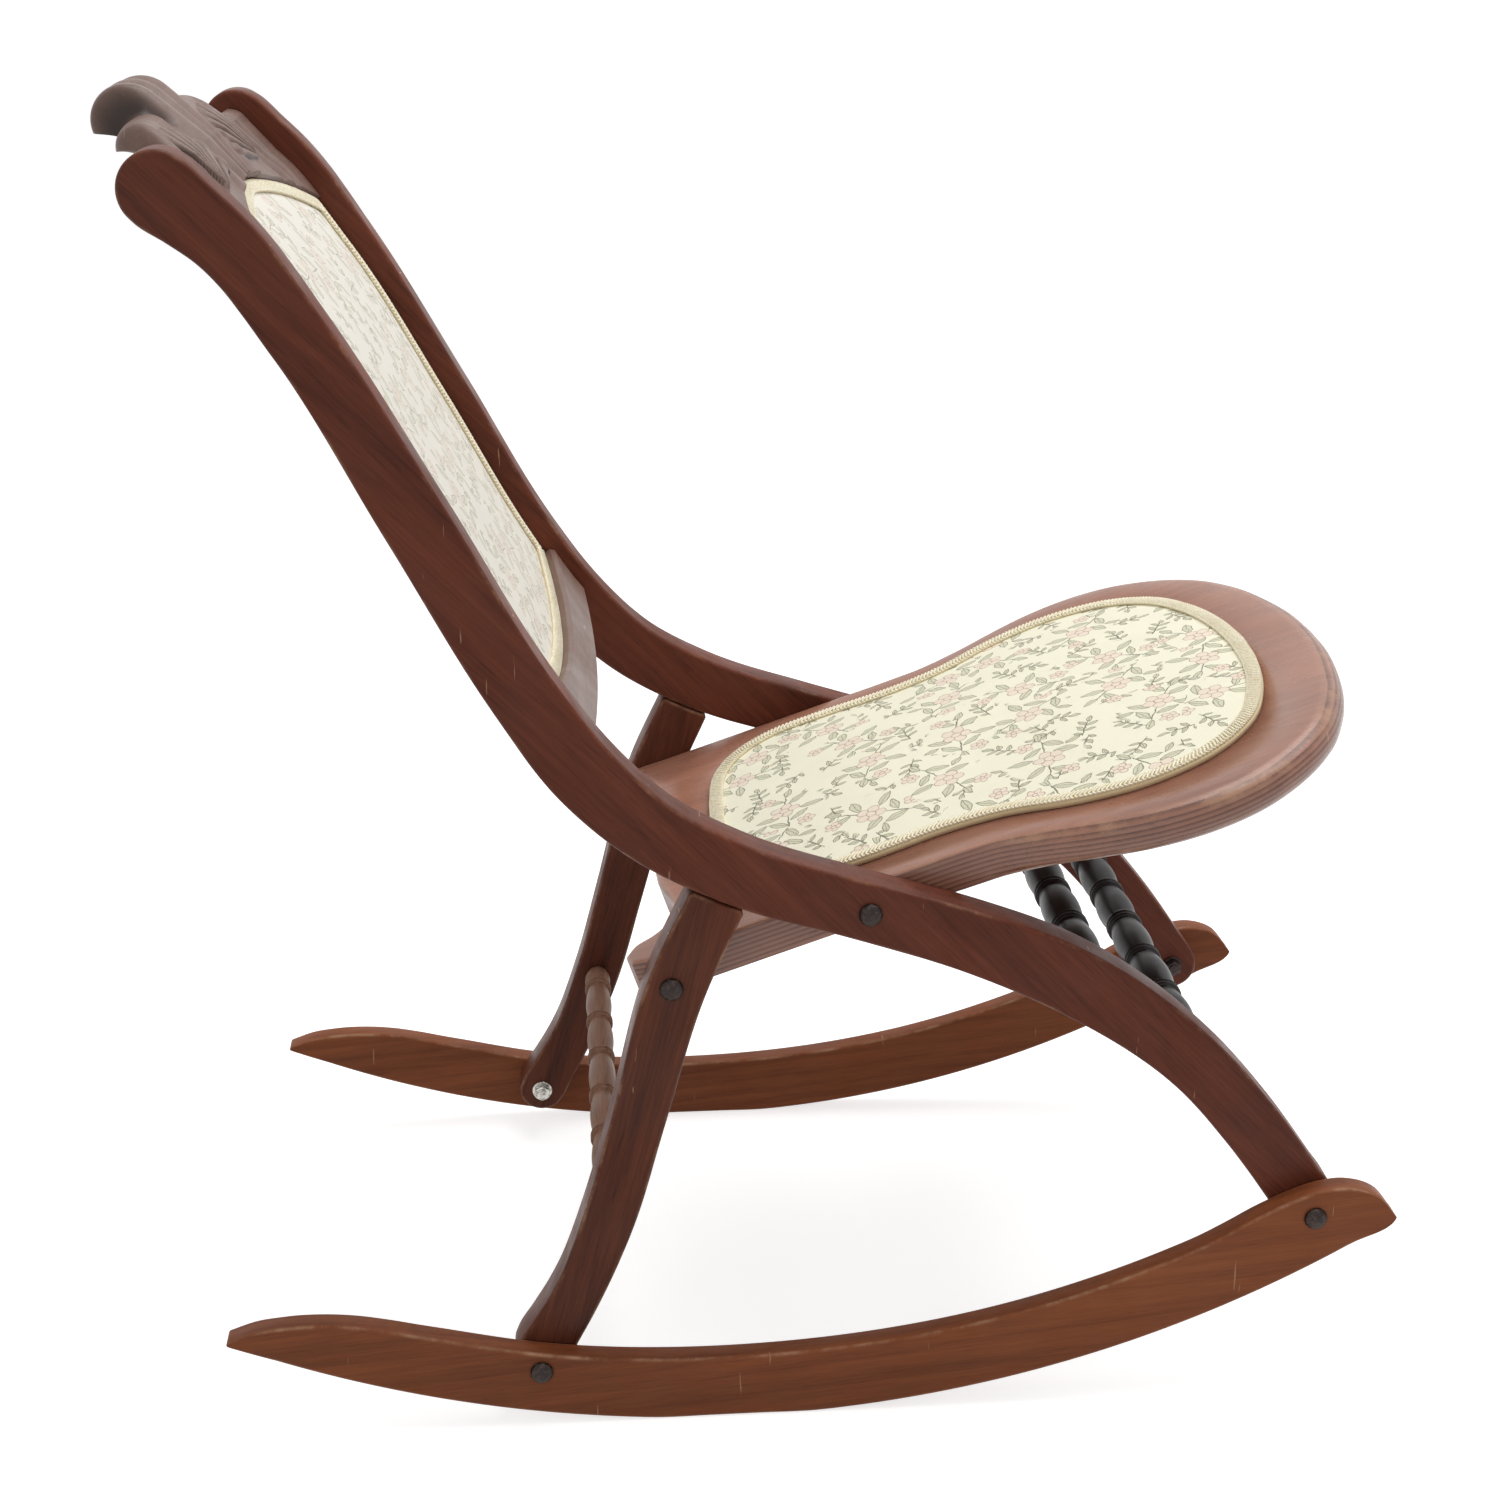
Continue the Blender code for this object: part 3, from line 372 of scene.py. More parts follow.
def curve_through(points, step, closed=False):
    """Evenly spaced points of a smooth curve through the given ones; a closed one ends where it starts."""
    along = lengths_of(points)
    slope = np.gradient(points, along, axis=0)
    if closed:
        turn = points[1] - points[-2]
        slope[0] = slope[-1] = turn / (along[1] + along[-1] - along[-2])
    at = np.linspace(0.0, along[-1], max(2, round(along[-1] / step)) + 1)
    i = np.clip(np.searchsorted(along, at, side="right") - 1, 0, len(points) - 2)
    h = (along[i + 1] - along[i])[:, None]
    t = (at - along[i])[:, None] / h
    ends = (2 * t**3 - 3 * t**2 + 1) * points[i] + (3 * t**2 - 2 * t**3) * points[i + 1]
    return ends + h * ((t**3 - 2 * t**2 + t) * slope[i] + (t**3 - t**2) * slope[i + 1])


def split_long(loop):
    """The closed outline with points added on its long edges, so that a curve keeps those straight."""
    steps = np.roll(loop, -1, axis=0) - loop
    sizes = np.linalg.norm(steps, axis=1)
    counts = np.maximum(1, np.floor(sizes / np.median(sizes) / LONG_EDGE).astype(int))
    return np.vstack([a + step * np.arange(n)[:, None] / n for a, step, n in zip(loop, steps, counts)])


def smoothed(loop, step):
    """The closed 2-D outline again in even steps, curved through its points but sharp at its corners."""
    loop = split_long(loop[np.linalg.norm(loop - np.roll(loop, 1, axis=0), axis=1) > SHORT_EDGE])
    before = loop - np.roll(loop, 1, axis=0)
    after = np.roll(before, -1, axis=0)
    cross = before[:, 0] * after[:, 1] - before[:, 1] * after[:, 0]
    corners = np.flatnonzero(np.abs(np.arctan2(cross, (before * after).sum(axis=1))) > CORNER)
    if len(corners) == 0:
        return curve_through(np.vstack([loop, loop[:1]]), step, closed=True)[:-1]
    loop = np.roll(loop, -corners[0], axis=0)
    cuts = [*(corners - corners[0]), len(loop)]
    ring = np.vstack([loop, loop[:1]])
    return np.vstack([curve_through(ring[a:b + 1], step)[:-1] for a, b in zip(cuts, cuts[1:])])


def mitres(loop):
    """Offsets at a closed loop's corners that move each of its edges one unit to the left."""
    step = np.roll(loop, -1, axis=0) - loop
    after = np.stack([-step[:, 1], step[:, 0]], axis=1) / np.linalg.norm(step, axis=1)[:, None]
    before = np.roll(after, 1, axis=0)
    return (before + after) / np.maximum(1 + (before * after).sum(axis=1), MITRE_LIMIT)[:, None]


def anticlockwise(loop):
    x, y = loop.T
    area = (x * np.roll(y, -1) - np.roll(x, -1) * y).sum()
    return loop if area > 0 else loop[::-1]


def inset(loop, distance):
    return loop + mitres(loop) * np.reshape(distance, (-1, 1))


def board_outline(node, side, step):
    """The true side view of a packed board: the ring where its side wall meets the eased edge."""
    mesh = frame["nodes"][node].data
    points = np.array([v.co for v in mesh.vertices])
    level = points[:, 1] * side
    wall = level[level < level.max() - SHORT_EDGE].max()
    spots = points[np.abs(level - wall) < FLAT_SLACK][:, (0, 2)]
    ahead = {}
    for edge in mesh.edges:
        if all(abs(level[k] - wall) < FLAT_SLACK for k in edge.vertices):
            ends = [points[k, (0, 2)] for k in edge.vertices]
            a, b = (int(np.argmax(np.linalg.norm(spots - end, axis=1) < FLAT_SLACK)) for end in ends)
            ahead.setdefault(a, set()).add(b)
            ahead.setdefault(b, set()).add(a)
    loops = []
    while ahead:
        point = next(iter(ahead))
        loop = []
        while point in ahead:
            loop.append(spots[point])
            nearby = [k for k in ahead.pop(point) if k in ahead]
            point = nearby[0] if nearby else None
        loops.append(np.array(loop))
    return smoothed(anticlockwise(max(loops, key=len)), step)


# Meshes

def join_rings(bm, rings, closed=False):
    for a, b in zip(rings, rings[1:]):
        for k in range(len(a) if closed else len(a) - 1):
            n = (k + 1) % len(a)
            bm.faces.new((a[k], a[n], b[n], b[k]))


def cap_ends(bm, rings):
    for ring in (rings[0], rings[-1]):
        bm.faces.new(ring)


def capped(bm, rings):
    """Joins closed rings to a solid with a flat face at each end."""
    join_rings(bm, rings, closed=True)
    cap_ends(bm, rings)


def smooth_mesh(name, bm):
    """A smooth mesh from bm, which is used up."""
    bmesh.ops.recalc_face_normals(bm, faces=bm.faces)
    mesh = bpy.data.meshes.new(name)
    bm.to_mesh(mesh)
    bm.free()
    mesh.shade_smooth()
    return mesh


def set_finish(mesh, finish):
    mesh.materials.clear()
    mesh.materials.append(finish)


def finished(name, bm, finish, body, nodes=()):
    """A smooth piece from bm that rides on a body and stands for the given nodes."""
    return placed(name, smooth_mesh(name, bm), finish, body, nodes)


def placed(name, mesh, finish, body, nodes=()):
    obj = bpy.data.objects.new(name, mesh)
    bpy.context.scene.collection.objects.link(obj)
    set_finish(mesh, finish)
    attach(obj, body)
    if nodes:
        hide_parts(*nodes)
    return obj


def board_rings(bm, loop, near, far, radius, place):
    """Rings of a board with round edges, from inside one flat face to inside the other."""
    worn = bm.verts.layers.float.new("edge")
    radius = np.broadcast_to(radius, len(loop))
    inward, rings = mitres(loop), []
    turns = np.radians(np.linspace(0.0, 90.0, ROUND_STEPS))
    way = math.copysign(1.0, far - near)
    rows = [(radius * FLAT_FROM, near + 0 * radius, 0.0)]
    rows += [(radius * (1 - math.sin(t)), near + way * radius * (1 - math.cos(t)), math.sin(2 * t))
             for t in turns]
    rows += [(r, near + far - level, edge) for r, level, edge in rows[::-1]]
    for depth, level, edge in rows:
        ring = [bm.verts.new(place(p, h)) for p, h in zip(loop + inward * depth[:, None], level)]
        for vert in ring:
            vert[worn] = edge**3
        rings.append(ring)
    join_rings(bm, rings, closed=True)
    return rings


def side_place(point, level):
    return point[0], level, point[1]


def side_board(name, node, side, span, taper, finish, body):
    """A rounded copy of a packed side board. Its edge gets finer within taper of its tips, if that is set."""
    wood = settings("wood")
    loop = board_outline(node, side, wood.curve_step)
    radius = np.full(len(loop), wood.edge_round)
    if taper:
        tips = np.minimum(loop[:, 0] - loop[:, 0].min(), loop[:, 0].max() - loop[:, 0])
        radius = radius * np.clip(tips / taper, TIP_SHARE, 1.0)
    bm = bmesh.new()
    cap_ends(bm, board_rings(bm, loop, side * span[0], side * span[1], radius, side_place))
    return finished(name, bm, finish, body, [node])


def turned(bm, rows, sides, place):
    """Adds a lathe-turned solid from (along, radius) rows; place puts two offsets and a length in space."""
    turns = np.linspace(0.0, 2 * math.pi, sides, endpoint=False)
    capped(bm, [[bm.verts.new(place(r * math.cos(a), r * math.sin(a), along)) for a in turns]
                for along, r in rows])


def seat_place(point, level):
    return SEAT_PIVOT + SEAT_AHEAD * point[0] + Vector((0.0, point[1], 0.0)) + SEAT_UP * level


def on_seat(points):
    """Points of space in the seat's own (forward, across) plane, and how high over its pivot they are."""
    off = np.array(points) - np.array(SEAT_PIVOT)
    return np.stack([off @ np.array(SEAT_AHEAD), off[:, 1]], axis=1), off @ np.array(SEAT_UP)


def seat_pad_edge(step):
    """Outline of the seat pad's underside in the seat's plane, in even steps, and its height."""
    edge, floor = on_seat(flat_loops("seat_pad", -SEAT_UP)[0])
    return smoothed(anticlockwise(edge), step), floor.mean()


def fill_between(bm, outer, inner):
    edges = []
    for ring in (outer, inner):
        for a, b in zip(ring, ring[1:] + ring[:1]):
            edges.append(bm.edges.get((a, b)) or bm.edges.new((a, b)))
    bmesh.ops.triangle_fill(bm, use_beauty=True, use_dissolve=False, edges=edges)


def back_line(lengths):
    """Points and forward normals of the stiles' middle line, at these lengths down from its top."""
    rows = np.array(BACK_CURVE) * (-BACK_LEAN, BACK_HEIGHT) + (SEAT_PIVOT.x, SEAT_PIVOT.z)
    path = curve_through(rows, BACK_STEP)[::-1]
    along, step = lengths_of(path), np.gradient(path, axis=0)
    n = np.stack([-step[:, 1], step[:, 0]], axis=1)
    points = np.stack([np.interp(lengths, along, path[:, k]) for k in (0, 1)], axis=1)
    ahead = np.stack([np.interp(lengths, along, n[:, k]) for k in (0, 1)], axis=1)
    return points, ahead / np.linalg.norm(ahead, axis=1)[:, None]


def back_grid(ys, lengths, offsets):
    """Points of the back at places across it: rows of lengths down from the top and offsets forward."""
    rows = []
    for y, s, h in zip(ys, lengths, offsets):
        points, ahead = back_line(s)
        xz = points + ahead * np.reshape(h, (-1, 1))
        rows.append(np.stack([xz[:, 0], np.full(len(s), y), xz[:, 1]], axis=1))
    return np.array(rows)


def closed_slab(bm, front, rear):
    """A closed solid between two grids of points of the same shape. Returns the front's vertices."""
    grids = [[[bm.verts.new(p) for p in row] for row in grid] for grid in (front, rear)]
    for grid in grids:
        join_rings(bm, grid)
    rims = [[*g[0], *(row[-1] for row in g[1:-1]), *g[-1][::-1], *(row[0] for row in g[-2:0:-1])]
            for g in grids]
    join_rings(bm, rims, closed=True)
    return grids[0]


def crest_low(y):
    crest = settings("crest")
    return crest.low - crest.arch * (1 - (np.abs(y) / BACK_HALF) ** crest.arch_power)


def back_face(s):
    """How far the back board's face lies ahead of the stiles' middle line: deeper towards the top."""
    return -settings("cloth").panel_depth - settings("crest").deep * np.exp(-((s / DEEP_REACH) ** 2))


def pad_ends(y):
    """Lengths down the stiles of the back upholstery's upper and lower edges."""
    cloth = settings("cloth")
    sag = cloth.back_sag * (1 - (y / BACK_HALF) ** 2)
    return crest_low(y) + 2 * cloth.gap, cloth.back_length + sag - cloth.gap


def swollen(obj, rim, cap):
    """Lets pressure from below swell a cover that is held at its rim, by no more than a cap."""
    scene = bpy.context.scene
    group = obj.vertex_groups.new(name="rim")
    group.add(rim, 1.0, "REPLACE")
    cloth = obj.modifiers.new("swell", "CLOTH")
    cloth.settings.quality = 5
    cloth.settings.mass = 0.2
    cloth.settings.tension_stiffness = 20.0
    cloth.settings.compression_stiffness = 20.0
    cloth.settings.use_pressure = True
    cloth.settings.uniform_pressure_force = 4.0
    cloth.settings.vertex_group_mass = group.name
    cloth.settings.effector_weights.gravity = 0.0
    start = np.array([v.co for v in obj.data.vertices])
    for step in range(1, CLOTH_FRAMES + 1):
        scene.frame_set(step)
    swelled = obj.evaluated_get(bpy.context.evaluated_depsgraph_get()).data
    shift = np.array([v.co for v in swelled.vertices]) - start
    obj.modifiers.remove(cloth)
    obj.vertex_groups.remove(group)
    scene.frame_set(1)
    most = np.linalg.norm(shift, axis=1).max()
    return start + shift * min(1.0, cap / max(most, 1e-9))


# Shader nodes

class Wiring:
    """A node tree, with short calls that add a node, set or link its inputs and hand back an output."""

    def __init__(self, tree):
        self.tree = tree

    def add(self, kind, inputs=(), out=0, **values):
        node = self.tree.nodes.new(kind)
        for key, value in values.items():
            setattr(node, key, value)
        for key, value in dict(inputs).items():
            if isinstance(value, bpy.types.NodeSocket):
                self.tree.links.new(value, node.inputs[key])
            else:
                node.inputs[key].default_value = value
        return node.outputs[out]

    def math(self, operation, *values, clamp=False):
        return self.add("ShaderNodeMath", enumerate(values), operation=operation, use_clamp=clamp)

    def vector(self, operation, *values, out=0):
        return self.add("ShaderNodeVectorMath", enumerate(values), out, operation=operation)

    def mix(self, share, first, second, blend="MIX"):
        inputs = {0: share, 6: first, 7: second}
        return self.add("ShaderNodeMix", inputs, 2, data_type="RGBA", blend_type=blend, clamp_factor=True)

    def ramp(self, value, low, high, to_low=0.0, to_high=1.0):
        inputs = dict(enumerate((value, low, high, to_low, to_high)))
        return self.add("ShaderNodeMapRange", inputs, interpolation_type="SMOOTHSTEP")

    def noise(self, vector, scale, detail=2.0, roughness=0.5):
        inputs = {"Vector": vector, "Scale": scale, "Detail": detail, "Roughness": roughness}
        return self.add("ShaderNodeTexNoise", inputs)

    def group(self, tree, inputs, out=0):
        return self.add("ShaderNodeGroup", inputs, out, node_tree=tree)

    def link(self, output, target):
        self.tree.links.new(output, target)


def new_group(name, inputs, outputs):
    """An empty shader node group with named sockets, as its wiring, what it is given and what it gives."""
    tree = bpy.data.node_groups.new(name, "ShaderNodeTree")
    for label, kind in inputs.items():
        tree.interface.new_socket(label, in_out="INPUT", socket_type="NodeSocket" + kind)
    for label, kind in outputs.items():
        tree.interface.new_socket(label, in_out="OUTPUT", socket_type="NodeSocket" + kind)
    given, gives = tree.nodes.new("NodeGroupInput"), tree.nodes.new("NodeGroupOutput")
    return Wiring(tree), given.outputs, gives.inputs


def shared(make):
    """The node group that make builds, built once."""
    found = bpy.data.node_groups.get(make.__name__)
    return found or make(make.__name__)


def plank_grain(name):
    """Rings round a pith along x, streaks, fibres, pores and slow drifts of tone."""
    inputs = {"Vector": "Vector", "Light": "Color", "Dark": "Color", "Ring": "Float", "Contrast": "Float",
              "Streak": "Float", "Warp": "Float"}
    net, given, gives = new_group(name, inputs, {"Color": "Color", "Height": "Float"})
    parts = net.tree.nodes.new("ShaderNodeSeparateXYZ")
    net.link(given["Vector"], parts.inputs[0])

    def streaks(along, across, detail):
        return net.noise(net.vector("MULTIPLY", given["Vector"], (along, across, across)), 1.0, detail)

    def added(tone, value, middle, weight, clamp=False):
        return net.math("MULTIPLY_ADD", net.math("SUBTRACT", value, middle), weight, tone, clamp=clamp)

    warp = net.math("MULTIPLY", streaks(1.6, 14.0, 3.0), given["Warp"])
    square = net.math("MULTIPLY_ADD", parts.outputs[1], parts.outputs[1],
                      net.math("MULTIPLY", parts.outputs[2], parts.outputs[2]))
    phase = net.math("ADD", net.math("DIVIDE", net.math("SQRT", square), given["Ring"]), warp)
    saw = net.math("FRACT", phase)
    late = net.math("MULTIPLY", net.ramp(saw, 0.25, 0.93), net.ramp(saw, 1.0, 0.94))
    fibres = streaks(30.0, 620.0, 3.0)
    pores = net.ramp(streaks(48.0, 1300.0, 2.0), 0.58, 0.70)
    tone = added(0.46, late, 0.4, given["Contrast"])
    for value, weight in ((streaks(3.0, 34.0, 3.0), 1.3), (streaks(11.0, 150.0, 4.0), 0.9), (fibres, 0.8)):
        tone = added(tone, value, 0.5, net.math("MULTIPLY", given["Streak"], weight))
    tone = added(tone, pores, 0.0, 0.22, clamp=True)
    net.link(net.mix(tone, given["Light"], given["Dark"]), gives["Color"])
    net.link(net.math("SUBTRACT", net.math("MULTIPLY", fibres, 0.6), pores), gives["Height"])
    return net.tree


def edge_wear(name):
    """Wear that breaks through along edges, from an attribute that is 1 on them, with a few scratches."""
    inputs = {"Vector": "Vector", "Edge": "Float", "Color": "Color", "Worn": "Color", "Amount": "Float"}
    net, given, gives = new_group(name, inputs, {"Color": "Color"})
    rubbed = net.math("MULTIPLY", net.noise(given["Vector"], 30.0, 5.0, 0.7), given["Amount"])
    rubbed = net.math("MULTIPLY", net.ramp(rubbed, 0.40, 0.80), given["Edge"])
    thin = net.vector("MULTIPLY", given["Vector"], (300.0, 40.0, 26.0))
    scratch = net.math("MULTIPLY", net.ramp(net.noise(thin, 1.0, 2.0), 0.735, 0.765), 0.6)
    mask = net.math("MAXIMUM", rubbed, scratch, clamp=True)
    net.link(net.mix(mask, given["Color"], given["Worn"]), gives["Color"])
    return net.tree


def handled_gloss(name):
    """A roughness that drifts between two values, as on varnish that hands have polished and dulled."""
    inputs = {"Vector": "Vector", "Low": "Float", "High": "Float"}
    net, given, gives = new_group(name, inputs, {"Roughness": "Float"})
    smudge = net.noise(given["Vector"], 24.0, 4.0, 0.6)
    net.link(net.ramp(smudge, 0.3, 0.7, given["Low"], given["High"]), gives["Roughness"])
    return net.tree


def thread_weave(name):
    """Over and under threads of a plain weave in a plane of metres."""
    net, given, gives = new_group(name, {"Vector": "Vector", "Pitch": "Float"}, {"Height": "Float"})
    parts = net.tree.nodes.new("ShaderNodeSeparateXYZ")
    net.link(given["Vector"], parts.inputs[0])
    humps, cells = [], []
    for k in (0, 1):
        at = net.math("DIVIDE", parts.outputs[k], given["Pitch"])
        humps.append(net.math("ABSOLUTE", net.math("SINE", net.math("MULTIPLY", at, math.pi))))
        cells.append(net.math("FLOOR", at))
    odd = net.math("FLOORED_MODULO", net.math("ADD", *cells), 2.0)
    over = net.math("MULTIPLY", humps[0], odd)
    net.link(net.math("MULTIPLY_ADD", humps[1], net.math("SUBTRACT", 1.0, odd), over), gives["Height"])
    return net.tree


def turned_plane(net, vector, place, turn):
    """The (x, y) outputs of a plane moved to a place and turned."""
    off = net.vector("SUBTRACT", vector, place)
    swung = net.add("ShaderNodeVectorRotate", {"Vector": off, "Angle": turn}, rotation_type="Z_AXIS")
    parts = net.tree.nodes.new("ShaderNodeSeparateXYZ")
    net.link(swung, parts.inputs[0])
    return parts.outputs[0], parts.outputs[1]


def leaf(name):
    """One pointed leaf along +x from a place: how far in its fill and its outline and vein reach."""
    inputs = {"Vector": "Vector", "Place": "Vector", "Turn": "Float", "Length": "Float", "Width": "Float",
              "Line": "Float"}
    net, given, gives = new_group(name, inputs, {"Fill": "Float", "Line": "Float"})
    x, y = turned_plane(net, given["Vector"], given["Place"], given["Turn"])
    along = net.math("DIVIDE", x, given["Length"])
    bow = net.math("MULTIPLY", net.math("MULTIPLY", along, net.math("SUBTRACT", 1.0, along)), given["Width"])
    out = net.math("SUBTRACT", net.math("ABSOLUTE", y), net.math("MULTIPLY", bow, 2.0))
    fill = net.math("LESS_THAN", out, 0.0)
    rim = net.ramp(net.math("ABSOLUTE", out), given["Line"], 0.0)
    near = net.math("MULTIPLY", net.math("GREATER_THAN", along, -0.05), net.math("LESS_THAN", along, 1.05))
    vein = net.math("MULTIPLY", net.ramp(net.math("ABSOLUTE", y), given["Line"], 0.0), fill)
    lines = net.math("MAXIMUM", net.math("MULTIPLY", rim, near), net.math("MULTIPLY", vein, 0.7))
    net.link(fill, gives["Fill"])
    net.link(lines, gives["Line"])
    return net.tree


def blossom(name):
    """One five-petalled blossom: its fill, and the outlines of petals and heart."""
    inputs = {"Vector": "Vector", "Place": "Vector", "Radius": "Float", "Line": "Float"}
    net, given, gives = new_group(name, inputs, {"Fill": "Float", "Line": "Float"})
    x, y = turned_plane(net, given["Vector"], given["Place"], 0.0)
    reach = net.vector("LENGTH", net.vector("SUBTRACT", given["Vector"], given["Place"]), out=1)
    spin = net.math("MULTIPLY", net.math("ARCTAN2", y, x), 2.5)
    petal = net.math("MULTIPLY_ADD", net.math("ABSOLUTE", net.math("COSINE", spin)), 0.34, 0.66)
    out = net.math("SUBTRACT", reach, net.math("MULTIPLY", petal, given["Radius"]))
    heart = net.math("SUBTRACT", reach, net.math("MULTIPLY", given["Radius"], 0.30))
    rim = net.ramp(net.math("ABSOLUTE", out), given["Line"], 0.0)
    ring = net.ramp(net.math("ABSOLUTE", heart), given["Line"], 0.0)
    seam = net.math("LESS_THAN", net.math("ABSOLUTE", net.math("COSINE", spin)), 0.16)
    seam = net.math("MULTIPLY", seam, net.math("GREATER_THAN", heart, 0.0))
    inside = net.math("LESS_THAN", out, 0.0)
    lines = net.math("MAXIMUM", rim, net.math("MAXIMUM", ring, net.math("MULTIPLY", seam, inside)))
    net.link(inside, gives["Fill"])
    net.link(lines, gives["Line"])
    return net.tree


def sprig_motif(net, vector, spacing, size, leaves, flowers, seed):
    """Masks of one motif, drawn at a size, in each cell of a loose grid: leaf fill, petal fill and lines."""
    cells = net.tree.nodes.new("ShaderNodeTexVoronoi")
    cells.voronoi_dimensions = "2D"
    cells.inputs["Randomness"].default_value = 0.62
    shifted = net.vector("ADD", vector, (seed, seed * 0.7, 0.0))
    net.link(shifted, cells.inputs["Vector"])
    net.link(net.math("DIVIDE", 1.0, spacing), cells.inputs["Scale"])
    local = net.vector("SUBTRACT", shifted, cells.outputs["Position"])
    chance = net.tree.nodes.new("ShaderNodeSeparateColor")
    net.link(cells.outputs["Color"], chance.inputs[0])
    turn = net.math("MULTIPLY", chance.outputs[0], 2 * math.pi)
    local = net.add("ShaderNodeVectorRotate", {"Vector": local, "Angle": turn}, rotation_type="Z_AXIS")
    masks = {"leaf": [], "line": [], "petal": [], "petal line": []}

    def drawn(make, spot, values):
        inputs = {"Vector": local, "Place": (spot[0] * size, spot[1] * size, 0.0), **values}
        return net.group(shared(make), inputs).node.outputs

    for spot, aim, long, wide in leaves:
        made = drawn(leaf, spot, {
            "Turn": -math.radians(aim), "Length": long * size, "Width": wide * size, "Line": LEAF_LINE})
        masks["leaf"].append(made["Fill"])
        masks["line"].append(made["Line"])
    for spot, radius in flowers:
        made = drawn(blossom, spot, {"Radius": radius * size, "Line": PETAL_LINE})
        masks["petal"].append(made["Fill"])
        masks["petal line"].append(made["Line"])
    gathered = {}
    for key, values in masks.items():
        total = values[0] if values else 0.0
        for value in values[1:]:
            total = net.math("MAXIMUM", total, value)
        gathered[key] = total
    gathered["far"] = net.ramp(cells.outputs["Distance"], 0.40, 0.46)
    return gathered


# Leaves as (place, aim in degrees, length, width) and blossoms as (place, radius), round a motif's middle
SPRAY_LEAVES = (
    ((-0.020, -0.005), 16, 0.014, 0.0004), ((0.008, 0.004), 10, 0.013, 0.0004),
    ((-0.018, -0.004), 66, 0.014, 0.0052), ((-0.012, -0.004), -38, 0.013, 0.0048),
    ((-0.006, 0.004), 92, 0.014, 0.0052), ((0.010, 0.002), -34, 0.014, 0.0054),
    ((0.014, 0.006), 74, 0.012, 0.0046), ((0.020, 0.006), 2, 0.011, 0.0044),
    ((-0.020, -0.006), 200, 0.011, 0.0044), ((0.002, -0.006), -80, 0.014, 0.0050),
    ((-0.012, 0.010), 132, 0.010, 0.0038),
)
SPRAY_FLOWERS = (((0.002, 0.003), 0.0088), ((-0.015, -0.014), 0.0054), ((0.018, 0.017), 0.0050))
TWIG_LEAVES = (
    ((-0.013, 0.0), 3, 0.019, 0.0004), ((0.005, 0.0), 8, 0.008, 0.0032),
    ((0.001, 0.0), 56, 0.0078, 0.0030), ((0.000, 0.0), -46, 0.0078, 0.0030),
    ((-0.006, 0.0), 48, 0.0080, 0.0030), ((-0.007, 0.0), -58, 0.0075, 0.0028),
    ((-0.011, 0.0), 70, 0.0060, 0.0024),
)


def sprig_ground(name):
    """The tapestry's drawing: sprays of leaves and blossoms, with small twigs in between."""
    inputs = {"Vector": "Vector", "Ground": "Color", "Leaf": "Color", "Line": "Color", "Petal": "Color",
              "Petal line": "Color", "Spray": "Float", "Twig": "Float"}
    net, given, gives = new_group(name, inputs, {"Color": "Color"})
    sprays = sprig_motif(net, given["Vector"], given["Spray"], 1.2, SPRAY_LEAVES, SPRAY_FLOWERS, 0.31)
    twigs = sprig_motif(net, given["Vector"], given["Twig"], 1.1, TWIG_LEAVES, (), 0.87)
    drawn = given["Ground"]
    for masks, room in ((twigs, sprays["far"]), (sprays, 1.0)):
        for key, mask in masks.items():
            if key != "far" and not isinstance(mask, float):
                drawn = net.mix(net.math("MULTIPLY", mask, room), drawn, given[key.capitalize()])
    net.link(drawn, gives["Color"])
    return net.tree


def new_finish(name):
    """An empty finish: its material, its wiring and its shader's inputs."""
    material = bpy.data.materials.new(name)
    material.use_nodes = True
    shader = material.node_tree.nodes["Principled BSDF"]
    return material, Wiring(material.node_tree), shader.inputs


def bump_into(net, sockets, height, strength, distance):
    bump = {"Height": height, "Strength": strength, "Distance": distance}
    net.link(net.add("ShaderNodeBump", bump), sockets["Normal"])


def wood_finish(name, tones, grain, through, pith, ring, contrast, streak, wear,
                gloss=(0.36, 0.55), shine=0.16, warp=2.0):
    """Varnished wood whose grain runs along one direction, with rings round a pith and worn edges."""
    material, net, sockets = new_finish(name)
    along, depth = Vector(grain).normalized(), Vector(through).normalized()
    axes = Matrix((along, depth.cross(along), depth))
    spot = net.add("ShaderNodeTexCoord", out="Object")
    turned_spot = net.add("ShaderNodeMapping", {
        "Vector": spot, "Rotation": axes.to_euler(), "Location": -(axes @ Vector(pith))})
    plank = {"Vector": turned_spot, "Light": (*tones[0], 1.0), "Dark": (*tones[1], 1.0), "Ring": ring,
             "Contrast": contrast, "Streak": streak, "Warp": warp}
    made = net.group(shared(plank_grain), plank).node.outputs
    edge = net.add("ShaderNodeAttribute", out="Fac", attribute_name="edge")
    inputs = {"Vector": spot, "Edge": edge, "Color": made["Color"], "Amount": wear,
              "Worn": (*settings("wood").worn, 1.0)}
    worn = net.group(shared(edge_wear), inputs, "Color")
    # Painted shade: hollows that a mesh marks in this layer are darkened towards near black
    groove = net.add("ShaderNodeAttribute", out="Fac", attribute_name="groove")
    shade_paint = tuple(value * 0.18 for value in tones[1])
    net.link(net.mix(groove, worn, (*shade_paint, 1.0)), sockets["Base Color"])
    rough = {"Vector": spot, "Low": gloss[0], "High": gloss[1]}
    net.link(net.group(shared(handled_gloss), rough), sockets["Roughness"])
    sockets["Specular IOR Level"].default_value = shine
    bump_into(net, sockets, made["Height"], 0.2, 0.0004)
    return material


